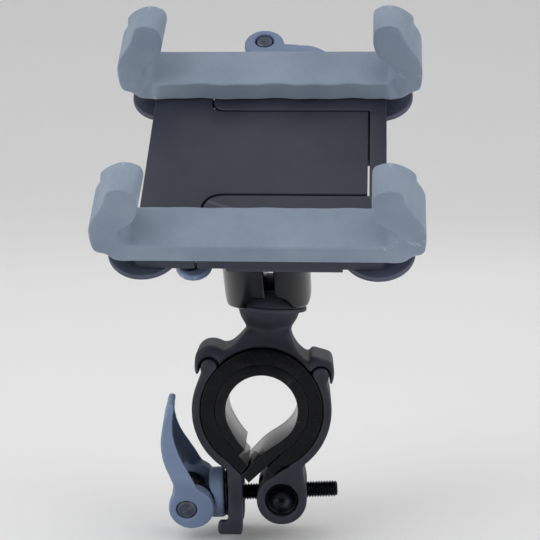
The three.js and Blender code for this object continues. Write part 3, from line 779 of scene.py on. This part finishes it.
@dataclass
class ClampBolt:
    """The eye bolt with its barrel nut, washers, cam lever and pin, measured from the nut."""

    pin_x: float = -27.8
    head: Triple = (-26.4, 0.2, 6.6)  # x, z and radius of the lever's eccentric head
    lever_half: float = 9.2
    end: float = 16.4

    def build(self, shop: Workshop) -> None:
        """Makes the nut, the washers, the bolt, the lever and its pin."""
        shop.piece("barrel_nut_body", self.barrel_nut(), Look.STEEL, "barrel_nut", "barrel_nut")
        washer = tube(2.8, 6.9, -16.5, -15.9, BOLT.along("a"), 0.2)
        shop.piece("thin_washer", washer, Look.STEEL, "flat_washer", "flat_washer")
        shop.piece("eye_bolt", self.bolt(), Look.STEEL, "clamp_bolt", "clamp_bolt")
        shop.piece("saddle_washer", self.saddle(), Look.LEVER, "clamp_bolt", "cam_washer")
        shop.piece("clamp_lever_arm", self.lever(), Look.LEVER, "clamp_lever", "clamp_lever")
        pin = pin_shape(2.75, self.lever_half - 0.25, BOLT.along("b", self.pin_x))
        shop.piece("clamp_pin", pin, Look.PIN, "clamp_bolt", "clamp_lever_pin")

    def barrel_nut(self) -> Mesh:
        """A cross dowel with dished ends: each dish is a bowl, (4.1 s, 6.8 + 2.6 s^2) turned round."""
        s = np.linspace(1, 0, 14)
        bowl = np.column_stack([4.1 * s, 6.8 + 2.6 * s**2])
        end = np.concatenate([[(4.5, 9.1), (4.45, 9.35), (4.35, 9.45), (4.2, 9.48)], bowl])
        whole = np.concatenate([end[::-1] * [1, -1], end])
        return Carving(turned(whole, BARREL.along("b"))).cut(rod(2.75, -9, 9, BARREL.along("a"))).mesh

    def bolt(self) -> Shape:
        """The threaded shank and the eye round the lever's pin."""
        shank = threaded(2.45, -22.5, self.end, 0.8, BOLT.along("a"))
        neck = rod(2.3, self.pin_x + 3.4, -21.5, BOLT.along("a"))
        eye = tube(3.3, 4.8, -4.8, 4.8, BOLT.along("b", self.pin_x), 0.4)
        return joined(shank, neck, eye)

    def saddle(self) -> Mesh:
        """The round washer whose outer face is hollowed to the radius of the lever's head."""
        x, z, r = self.head
        disc = rod(7.4, -21.2, -16.8, BOLT.along("a", 0, 0, 0.3), 0.6)
        cuts = rod(2.8, -30, 0, BOLT.along("a")), rod(r + HEAD_GAP, -12, 12, BOLT.along("b", x, 0, z))
        return Carving(disc).cut(*cuts).soften("saddle_washer", 4)

    def lever(self) -> Mesh:
        """The lever: a curved arm, dished on the side that faces the clamp, on a forked round head."""
        return Carving("clamp_lever").cut(self.dish()).soften("clamp_lever", 6)

    def dish(self) -> Shape:
        """The hollow of the arm's inner face: ellipses whose centres follow that face.

        At height z the ellipse has half width w(z) across the lever and depth d(z) into the arm.
        """
        z = np.linspace(6.5, 31.0, 40)
        face = [(6.5, -23.7), (9.6, -25.1), (13.2, -26.7), (17.4, -28.6), (21.8, -29.8), (25.6, -30.1),
                (29.2, -29.7), (31, -29.4)]
        centre = np.interp(z, *zip(*face))
        width = np.interp(z, [6.5, 13, 18.5, 24, 28.5, 31], [8.2, 7.6, 6.5, 5.2, 3.8, 1.2])
        depth = np.interp(z, [6.5, 12, 18.5, 24, 28.5, 31], [4.2, 3.9, 3.5, 2.2, 1.1, 0.2])
        t = np.linspace(0, 2 * np.pi, 48, endpoint=False)
        grid = np.stack([
            centre[:, None] + depth[:, None] * np.cos(t),
            width[:, None] * np.sin(t),
            np.repeat(z[:, None], len(t), 1),
        ], -1)
        poles = [np.repeat(np.array([[[centre[i], 0, z[i]]]]), len(t), 1) for i in (0, -1)]
        return grown(np.concatenate([poles[0], grid, poles[1]]), BOLT)


def pin_shape(r: float, half: float, place: Place) -> Shape:
    """A lever's pin: both ends are chamfered and very slightly crowned."""
    s = np.linspace(0, 1, 6)
    crown = np.column_stack([(r - 0.45) * s, half + 0.12 * (1 - s**2)])
    end = np.concatenate([crown, [(r, half - 0.4)]])
    return turned(np.concatenate([end, end[::-1] * [1, -1]]), place)


# ---- ball joint ----


@dataclass
class BallJoint:
    """The collar round the ball and the two glossy shells that grip it, with their bolt, nut and lever."""

    socket: float = 12.4
    slit: Pair = (0.3, 2.9)
    top: float = 29.7
    bolt_n: float = 21.0
    pin_u: float = -21.7
    head: Triple = (-20.5, 0.1, 5.3)

    def build(self, shop: Workshop) -> None:
        """Makes the collar, the shells and the shells' clamp."""
        shop.piece("ball_collar_ring", self.collar(), Look.NYLON, "collar", "ball_collar")
        for side, name in ((-1, "left"), (1, "right")):
            shop.piece(f"shell_{name}", self.shell(side), Look.SHELL, "cradle", f"socket_shell_{name}")
        across = CRADLE.along("a", 0, 0, self.bolt_n)
        shank = threaded(2.0, self.pin_u + 6, 17.2, 0.7, across)
        neck = rod(1.9, self.pin_u + 2.8, self.pin_u + 7, across)
        eye = tube(2.6, 3.7, -2.3, 2.3, CRADLE.along("c", self.pin_u, 0, self.bolt_n), 0.3)
        shop.piece("shell_bolt", joined(shank, neck, eye), Look.STEEL, "cradle", "socket_bolt")
        shop.piece("shell_nut", hexagon(7.4, 12.7, 15.9, 2.3, across), Look.STEEL, "cradle", "socket_nut")
        shop.piece("shell_saddle", self.saddle(across), Look.LEVER, "cradle", "socket_washer")
        shop.piece("shell_lever", self.lever(), Look.LEVER, "socket_lever", "socket_lever")
        pin = pin_shape(2.05, 4.8, CRADLE.along("c", self.pin_u, 0, self.bolt_n))
        shop.piece("shell_pin", pin, Look.PIN, "cradle", "socket_lever_pin")

    def collar(self) -> Shape:
        """A hollow zone of a ball with a lip, which stands out most towards one side.

        A wall of ball radius R has radius sqrt(R^2 - z^2) at height z: R is 9.75 below the lip, 10.25 above
        it and 9.45 inside. The lip reaches 0.95 (1 + cos(t + 0.5)) / 2 further out, where t is the angle
        round the neck.
        """
        walls = []
        zones = (9.75, -1.5, -1.25, 3), (10.25, 0.15, 5.0, 16), (9.45, 5.0, -1.5, 16)
        for ball_r, start, end, steps in zones:
            z = np.linspace(start, end, steps)
            walls.append(np.column_stack([np.sqrt(ball_r**2 - z**2), z, np.zeros(steps)]))
        below, above, inside = walls
        lip = [
            (9.9, -1.15, 0), (9.9, -1.1, 1), (10.0, -0.85, 1), (9.95, -0.3, 1), (9.8, 0.0, 1),
            (10.1, 0.05, 0),
        ]
        r, z, share = np.concatenate([below, lip, above, inside, below[:1]]).T
        t = np.linspace(0, 2 * np.pi, 144, endpoint=False)
        return lathed(r[:, None] + share[:, None] * 0.95 * (1 + np.cos(t + 0.5)) / 2, z, NECK)

    def shell(self, side: int) -> Mesh:
        """Half of a round column with a bowl-shaped foot, hollowed for the ball and notched at the foot."""
        t = np.radians(np.linspace(0, 78, 16))
        foot = np.column_stack([self.socket * np.cos(t), 6.5 - 9.5 * np.sin(t)])[::-1]
        profile = np.concatenate([[(0, foot[0, 1])], foot, [(self.socket, self.top), (0, self.top)]])
        away = (-20.0, self.slit[1]) if side > 0 else (self.slit[0], 20.0)
        notch = [(-16, 16.2), (-16, -9), (16, -9), (16, 14.4), (2, 1.2), (0, 0.2), (-5, 5)]
        arch = [(-5.6, 0), (7.6, 0), (6.4, 2), (5.2, 3.6), (3.8, 4.2), (-2.2, 4.2), (-3.6, 3.4), (-4.8, 2)]
        cuts = [
            box(away, (-20, 20), (-10, 40), CRADLE),
            slab(np.array(notch, float), -21, 21, CRADLE.along("a"), 0.01),
            slab(np.array(arch, float), 5, 25, ARCH, 0.01),
            ball(10.6, CRADLE),
            rod(2.3, -20, 20, CRADLE.along("a", 0, 0, self.bolt_n)),
        ]
        return Carving(turned(profile, CRADLE, 144)).cut(*cuts).soften(f"shell_{side}", 9)

    def saddle(self, across: Place) -> Mesh:
        """The washer under the lever's head."""
        u, v, r = self.head
        disc = rod(4.3, -16.4, -self.socket - 0.3, across, 0.3)
        cuts = rod(2.3, -20, 0, across), rod(r + HEAD_GAP, 10, 32, CRADLE.along("c", u, v))
        return Carving(disc).cut(*cuts).soften("shell_saddle", 3)

    def lever(self) -> Mesh:
        """A flat curved lever on a round forked head."""
        u, v, r = self.head
        low, high = self.bolt_n - 5, self.bolt_n + 5
        arm = spline([
            (-17.5, 2.5), (-18.4, 7), (-19.6, 12), (-20.6, 18), (-20.4, 23.4), (-21.6, 24.4), (-23.2, 23),
            (-24.6, 17), (-24.9, 11), (-24.4, 6), (-25, 2),
        ], 6, closed=True)
        body = Carving(slab(arm, low, high, CRADLE, 0.3)).add(rod(r, low, high, CRADLE.along("c", u, v)))
        fork = box((-30, -10), (-8, 5.6), (self.bolt_n - 2.7, self.bolt_n + 2.7), CRADLE)
        return body.cut(fork, rod(2.3, 10, 32, CRADLE.along("c", self.pin_u))).soften("shell_lever", 5)


# ---- cradle ----


@dataclass
class PhoneCradle:
    """The two plates that slide on each other, their housing behind, the ears and the silicone grips."""

    mid_v: float = 19.4
    half_u: float = 33.4
    half_v: float = 37.3
    grip_v: float = 30.7  # a grip's middle line, from mid_v
    face: Pair = (37.0, 40.0)
    left: float = -16.8
    right: float = 28.2
    low: float = 6.4
    high: float = 38.6
    corners: Pair = (6.2, 4.0)
    gap: float = 0.5
    screws: tuple = ((-11, 11.5), (22, 11.5), (-11, 33.5), (22, 33.5))
    ear: Triple = (31.2, 29.8, 9.9)
    travel: float = 14.0
    bolt: Pair = (-3.3, 34.0)

    def build(self, shop: Workshop) -> None:
        """Makes the plates, the housing, its screws, the ears and the grips."""
        tongue = slab(self.tongue_outline(), *self.face, CRADLE, 0.35)
        shop.piece("tongue", tongue, Look.PLATE, "cradle", "tongue_plate")
        shop.piece("sliding_plate", self.sliding_plate(), Look.PLATE, "c_plate", "c_plate")
        shop.piece("housing", self.housing(), Look.PLATE, "cradle", "rear_housing")
        for i, at in enumerate(self.screws, 1):
            screw = self.screw(CRADLE.along("c", *at))
            shop.piece(f"screw_{i}", screw, Look.STEEL, "cradle", f"housing_screw_{i}")
        for side, side_name, body in ((-1, "left", "cradle"), (1, "right", "c_plate")):
            for up, up_name in ((-1, "bottom"), (1, "top")):
                disc = self.ear_disc(CRADLE.along("c", side * self.ear[0], self.mid_v + up * self.ear[1]))
                corner = f"{up_name}_{side_name}"
                shop.piece(f"ear_disc_{corner}", disc, Look.EAR, body, f"ear_{corner}")
        for up, name in ((-1, "bottom"), (1, "top")):
            nodes = (f"grip_{name}_left", f"grip_{name}_right")
            v = self.mid_v + up * self.grip_v
            grip = shop.dressed(f"silicone_{name}", SiliconeGrip(v, up).shape(), Look.SILICONE, *nodes)
            ends = (np.array(CRADLE.point(u, v, 43)) * MM for u in (-24, 24))
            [tuple(e) for e in ends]
            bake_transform(grip)

    def tongue_outline(self) -> Array:
        """The left plate with its tongue, which flares where it leaves the plate."""
        u, v0, v1 = -self.half_u, self.mid_v - self.half_v, self.mid_v + self.half_v
        left, right, low, high = self.left, self.right, self.low, self.high
        points = [
            (u, v0), (left, v0), (left, low), (right, low), (right, high), (left, high), (left, v1), (u, v1),
        ]
        return rounded(points, [3, 0.5, self.corners[0], 0.7, 0.7, self.corners[1], 0.5, 3], 10)

    def sliding_outline(self) -> Array:
        """The C-shaped plate round the tongue, one gap away from it."""
        u, v0, v1 = self.half_u, self.mid_v - self.half_v, self.mid_v + self.half_v
        left, right = self.left + self.gap, self.right + self.gap
        low, high = self.low - self.gap, self.high + self.gap
        points = [
            (left, v0), (u, v0), (u, v1), (left, v1), (left, high), (right, high), (right, low), (left, low),
        ]
        return rounded(points, [0.5, 3, 3, 0.5, self.corners[1], 0.5, 0.5, self.corners[0]], 10)

    def sliding_plate(self) -> Shape:
        """The C plate with its rear rail, its lower lip and the rib behind its upper right leg."""
        plate = slab(self.sliding_outline(), *self.face, CRADLE, 0.35)
        u, n = self.bolt
        slot = panel((u - self.travel - 2.5, u + 2.6), (n - 2.4, n + 2.4), 2.3, 6)
        rail = slab(panel((-21.6, 21.6), (31, 37.2), 0.8, 4), -46.2, -43.3, CRADLE_DOWN, 0.3, (slot,))
        lip = slab(panel((-8.7, 22), (-17.9, -16.2), 0.3, 3), 35.9, 37.3, CRADLE, 0.25)
        rib = slab(panel((26.7, 30.5), (22, 38.8), 0.8, 4), 34.6, 37.2, CRADLE, 0.3)
        return joined(plate, rail, lip, rib)

    def housing(self) -> Mesh:
        """The moulded back cover: a broad part and a foot, with a sunk panel and holes for the screws."""
        top, back = self.face[0] - 0.3, 30.0
        wide = slab(panel((-20, 26), (2, 43.1), [4, 4, 4, 1.5], 6), back, top, CRADLE, 1.2)
        foot = slab(panel((-14.5, 14.5), (-13, 20), 4, 6), back, top, CRADLE, 1.2)
        u, n = self.bolt
        sunk = slab(panel((-7.5, 18.5), (5.5, 39.5), 2.5), back - 2, back + 0.7, CRADLE, 0.4)
        cuts = [sunk, rod(2.3, 30, 50, CRADLE.along("b", u, 0, n))]
        cuts += [rod(1.7, 26, 39, CRADLE.along("c", *at)) for at in self.screws]
        cuts += [box((u - 4.6, u + 4.6), (12, 39.9), (back + 1.6, top + 1), CRADLE)]
        return Carving(wide).add(foot).cut(*cuts).soften("housing", 5)

    def screw(self, place: Place) -> Shape:
        """A pan-head screw: a low dome with a round drive recess over a plain shank."""
        profile = [
            (0, 29.2), (1.1, 29.1), (1.25, 28.2), (1.5, 28.05), (2.1, 28.2), (2.6, 28.7), (2.8, 29.3),
            (2.75, 29.7), (1.4, 29.75), (1.4, 38.4), (1.1, 38.6), (0, 38.6),
        ]
        return turned(profile, place, 48)

    def ear_disc(self, place: Place) -> Shape:
        """The hard disc under a claw, swollen behind like a saucer, with a spigot on top."""
        r = self.ear[2]
        s = np.linspace(0, 1, 14)
        back = np.column_stack([r * np.sin(s * np.pi / 2), 33.5 + 1.9 * (1 - np.cos(s * np.pi / 2))])
        rim = [(r, 35.9), (r - 0.1, 36.35), (r - 0.4, 36.6), (2.5, 36.7), (2.5, 39.6), (2.2, 39.8), (0, 39.8)]
        return turned(np.concatenate([back, rim]), place)


@dataclass
class SiliconeGrip:
    """One silicone grip: a flat band across the cradle that rises into a hooked claw at each end.

    The surface runs between an inner and an outer contour in the u-n plane. At each step along them it goes
    once round a rounded box, as thick as the contours are apart and as wide, along v, as the band.
    """

    mid: float
    up: int
    half: float = 7.0
    edge: float = 0.55
    drop: float = 4.4
    swell: float = 2.4
    inner: tuple = (
        (0, 46.4), (6, 46.4), (12, 46.4), (18, 46.4), (24, 46.4), (29, 46.4), (32.2, 46.5), (33.9, 46.8),
        (35.0, 47.8), (35.8, 49.6), (35.7, 51.0), (34.9, 52.3), (33.4, 53.6), (31.5, 55.4), (30.1, 57.9),
        (29.4, 61.2), (29.5, 64.2), (30.1, 66.1), (31.6, 67.3), (33.8, 67.7),
    )
    outer: tuple = (
        (0, 40.3), (6, 40.3), (12, 40.3), (18, 40.3), (24, 40.3), (29, 40.3), (33.2, 40.3), (36.0, 40.1),
        (39.0, 40.1), (41.6, 41.3), (42.8, 43.6), (43.2, 46.4), (43.3, 49.5), (43.0, 52.6), (41.9, 55.7),
        (39.7, 59.2), (37.8, 62.8), (36.9, 65.6), (35.8, 67.1), (33.8, 67.7),
    )

    def shape(self) -> Shape:
        """The closed grip, both halves, tip to tip.

        The claws' far side is lower than the near one by drop at the tips, and fuller by swell outside.

        Returns:
            The shape in the row frame.
        """
        inner, outer = (spline(c, 9) for c in (self.inner, self.outer))
        inner, outer = (np.concatenate([c[:0:-1] * [-1, 1], c]) for c in (inner, outer))
        along = np.linspace(-1, 1, len(inner))
        thick = np.linalg.norm(outer - inner, axis=1)
        middle, across = (inner + outer) / 2, (outer - inner) / np.maximum(thick, 1e-6)[:, None]
        soft = self.edge + 3.6 * np.exp(-(((np.abs(along) - 0.46) / 0.055) ** 2))
        section = self.section(thick / 2, np.full_like(along, self.half), soft)
        x, y = section[..., 0], section[..., 1]
        un = middle[:, None] + across[:, None] * x[..., None]
        u, n = un[..., 0], un[..., 1]
        far = np.clip((y + self.half) / (2 * self.half), 0, 1)
        rise = np.clip((n - 50) / 17, 0, 1) ** 1.5
        outside = np.clip(0.5 + x / np.maximum(thick, 1e-3)[:, None], 0, 1)
        u = u + np.sign(along)[:, None] * self.swell * far * outside * np.exp(-(((n - 62.5) / 3.8) ** 2))
        grid = np.stack([u, self.mid + y + self.waves(along, y), n - self.drop * far * rise], -1)
        return grown(grid, CRADLE)

    def waves(self, along: Array, y: Array) -> Array:
        """Slight unevenness of the moulded edge that faces the middle of the cradle, up to 0.25 mm."""
        ripple = 0.14 * np.sin(31 * along + 1.3) + 0.1 * np.sin(67 * along + 0.4)
        facing = np.clip(-self.up * y / self.half, 0, 1) ** 4
        flat = np.exp(-((along / 0.42) ** 6))
        return ripple[:, None] * facing * flat[:, None] * (1.6 if self.up > 0 else 0.7)

    def section(self, a: Array, b: Array, soft: Array) -> Array:
        """Rounded boxes, one for each step: half sizes a and b, crisp corners inside and soft ones outside.

        A corner is centre + radius (cos t, sin t) over a right angle.

        Args:
            a: Half thickness at each step.
            b: Half width at each step.
            soft: Radius of the outer corners at each step.

        Returns:
            An array of steps by points by (across, along the width).
        """
        t = np.radians(np.linspace(0, 90, 8))
        crisp = np.full_like(soft, self.edge)
        radius = np.minimum(np.stack([soft, crisp, crisp, soft], 1), 0.98 * a[:, None])
        corners = []
        for i, (sx, sy) in enumerate(((1, 1), (-1, 1), (-1, -1), (1, -1))):
            r, angle = radius[:, i][:, None], t + i * math.pi / 2
            cx, cy = sx * (a[:, None] - r), sy * (b[:, None] - r)
            corners.append(np.stack([cx + r * np.cos(angle), cy + r * np.sin(angle)], -1))
        share = np.linspace(0, 1, 10)[1:-1][None, :, None]
        parts = []
        for corner, after in zip(corners, corners[1:] + corners[:1]):
            last, following = corner[:, -1:], after[:, :1]
            parts += [corner, last + (following - last) * share]
        return np.concatenate(parts, 1)


# ---- width lock ----


@dataclass
class WidthLock:
    """The lever, bolt and saddle behind the cradle that lock the sliding plate."""

    u: float = -3.3
    n: float = 34.0
    pin_v: float = 70.5
    head: Pair = (69.3, 6.0)
    half: float = 4.8

    def build(self, shop: Workshop) -> None:
        """Makes the bolt, nut, saddle, washer, lever and pin."""
        upright = CRADLE.along("b", self.u, 0, self.n)
        eye = tube(2.9, 4.0, self.n - 2, self.n + 2, CRADLE.along("c", self.u, self.pin_v), 0.3)
        shank = joined(threaded(1.95, 16, 58, 0.7, upright), rod(1.9, 57.5, self.pin_v - 3, upright), eye)
        shop.piece("lock_bolt", shank, Look.STEEL, "cradle", "width_bolt")
        bore = arc(self.u, self.n, 2.25, 0, 352.5, 47)
        nut = slab(panel((self.u - 4, self.u + 4), (32, 36.3), 0.5, 3), -28, -24, CRADLE_DOWN, 0.3, (bore,))
        shop.piece("lock_nut", nut, Look.STEEL, "cradle", "width_nut")
        shop.piece("lock_saddle", self.saddle(upright), Look.PLATE, "cradle", "width_saddle")
        disc = rod(4.8, 59.7, 64.4, upright, 0.5)
        head = rod(self.head[1] + HEAD_GAP, 20, 50, CRADLE.along("c", self.u, self.head[0]))
        washer = Carving(disc).cut(rod(2.25, 50, 70, upright), head).soften("lock_washer", 3)
        shop.piece("lock_washer", washer, Look.LEVER, "cradle", "width_washer")
        shop.piece("lock_lever", self.lever(), Look.LEVER, "width_lever", "width_lever")
        pin = pin_shape(2.3, self.half - 0.15, CRADLE.along("c", self.u, self.pin_v, self.n))
        shop.piece("lock_pin", pin, Look.PIN, "cradle", "width_lever_pin")

    def saddle(self, upright: Place) -> Mesh:
        """The tapered block between the rail and the washer, with a finger scoop on each flank."""
        u = self.u
        outline = rounded([(u - 7, 46.5), (u + 7, 46.5), (u + 5, 59.4), (u - 5, 59.4)], 1, 4)
        body = Carving(slab(outline, 30.4, 36.6, CRADLE, 0.6)).cut(rod(2.3, 40, 70, upright))
        scoops = [rod(5, 20, 50, CRADLE.along("c", u + side * 10.2, 54)) for side in (-1, 1)]
        return body.cut(*scoops).soften("lock_saddle", 4)

    def lever(self) -> Mesh:
        """A slim lever that lies along the cradle's upper edge, on a round forked head."""
        u, n = self.u, self.n
        v, r = self.head
        arm = spline([
            (u + 2, 67), (u + 5, 69.2), (7.5, 68.8), (11.1, 68.3), (13.6, 67.1), (16.3, 65), (16.8, 63.8),
            (15, 63), (11, 64.4), (7, 64.9), (u + 5.4, 64.4), (u + 2, 64.5),
        ], 6, closed=True)
        body = Carving(slab(arm, n - self.half, n + self.half, CRADLE, 0.3))
        body.add(rod(r, n - self.half, n + self.half, CRADLE.along("c", u, v)))
        fork = box((u - 10, u + 5), (60, 80), (n - 2.4, n + 2.4), CRADLE)
        return body.cut(fork, rod(2.85, 20, 50, CRADLE.along("c", u, self.pin_v))).soften("lock_lever", 5)


# ---- studio ----


@dataclass
class Studio:
    """The pale floor that rises into a wall, the soft lights and the camera."""

    floor: float = -40.0
    distance: float = 1500.0
    tone: Triple = (226, 226, 226)
    sky_power: float = 1.25
    sky_dark: float = 0.12

    def build(self) -> None:
        """Makes the floor, the sky light, four soft lamps and the camera."""
        self.backdrop()
        self.sky()
        self.lamp("key", (-460, -480, 560), 500, 1.3)
        self.lamp("fill", (560, -440, 100), 420, 1.6)
        self.lamp("side", (-560, -440, 100), 420, 1.3)
        self.lamp("back", (60, 620, 420), 600, 0.4)
        self.camera()

    def backdrop(self) -> None:
        """A floor that bends up into a wall: a straight run, a quarter circle and a straight rise."""
        r = 800.0
        t = np.radians(np.linspace(-90, 0, 24))
        bend = np.column_stack([self.distance - r + r * np.cos(t), self.floor + r + r * np.sin(t)])
        near, height = (-6 * self.distance, self.floor), (self.distance, self.floor + 2 * self.distance)
        line = np.concatenate([[near], bend, [height]])
        x = np.repeat(np.array([[near[0], -near[0]]]), len(line), 0)
        grid = np.stack([x, np.repeat(line[:, :1], 2, 1), np.repeat(line[:, 1:], 2, 1)], -1)
        mesh = Shape(grid.reshape(-1, 3) * MM, net(len(line), 2, closed=False)).mesh("backdrop")
        paper = bpy.data.materials.new("paper")
        paper.use_nodes = True
        values = {"Base Color": linear(self.tone), "Roughness": 0.95, "Specular IOR Level": 0.1}
        filled(paper.node_tree.nodes["Principled BSDF"], values)
        mesh.materials.append(paper)
        linked("backdrop", mesh)

    def sky(self) -> None:
        """A white surround that falls to dark behind the camera: it follows 1.2 z + y + 0.3 |x|."""
        world = bpy.data.worlds.new("studio")
        world.use_nodes = True
        tree = world.node_tree
        at = tree.nodes.new("ShaderNodeTexCoord").outputs["Generated"]
        size = tree.nodes.new("ShaderNodeVectorMath")
        size.operation = "ABSOLUTE"
        tree.links.new(at, size.inputs[0])
        parts = []
        for source, weights in ((at, (0, 1.0, 1.2)), (size.outputs["Vector"], (0.3, 0, 0))):
            dot = tree.nodes.new("ShaderNodeVectorMath")
            dot.operation = "DOT_PRODUCT"
            dot.inputs[1].default_value = weights
            tree.links.new(source, dot.inputs[0])
            parts.append(dot.outputs["Value"])
        total = tree.nodes.new("ShaderNodeMath")
        total.operation = "ADD"
        tree.links.new(parts[0], total.inputs[0])
        tree.links.new(parts[1], total.inputs[1])
        share = tree.nodes.new("ShaderNodeMapRange")
        share.interpolation_type = "SMOOTHSTEP"
        filled(share, dict(zip(RANGE_ENDS, (-0.3, 0.8, self.sky_dark, self.sky_power))))
        tree.links.new(total.outputs["Value"], share.inputs["Value"])
        tree.links.new(share.outputs["Result"], tree.nodes["Background"].inputs["Strength"])
        tree.nodes["Background"].inputs["Color"].default_value = (1, 1, 1, 1)
        bpy.context.scene.world = world

    def lamp(self, name: str, at: Triple, size: float, watts: float) -> None:
        """A square soft lamp that faces the middle of the mount.

        Args:
            name: Name of the lamp.
            at: Its place in millimetres.
            size: Its side in millimetres.
            watts: Its power.
        """
        data = bpy.data.lights.new(name, "AREA")
        data.energy, data.size = watts, size * MM
        lamp = linked(name, data)
        away = np.array(at, float) - np.array([0, 0, 30.0])
        lamp.location = np.array(at) * MM
        lamp.rotation_mode = "QUATERNION"
        lamp.rotation_quaternion = Vector(away.tolist()).to_track_quat("Z", "Y")

    def camera(self) -> None:
        """The camera: 0.4 m in front of the clamp, a little to the right and above, with a long lens."""
        data = bpy.data.cameras.new("camera")
        data.lens, data.sensor_width = 93.33, 36.0
        camera = linked("camera", data)
        camera.location = (0.012, -0.4024, 0.0909)
        camera.rotation_euler = (math.radians(90 - 7.3), 0, math.radians(1.4))
        bpy.context.scene.camera = camera


def main() -> None:
    """Builds the mount's sub-assemblies in order, then the studio."""
    logging.basicConfig(level=logging.INFO, format="%(message)s")
    bpy.context.scene.view_settings.view_transform = "Standard"
    shop = Workshop()
    for assembly in (HandlebarClamp(), ClampBolt(), BallJoint(), PhoneCradle(), WidthLock()):
        LOG.info("%s", type(assembly).__name__)
        assembly.build(shop)
    Studio().build()


if __name__ == "__main__":
    main()
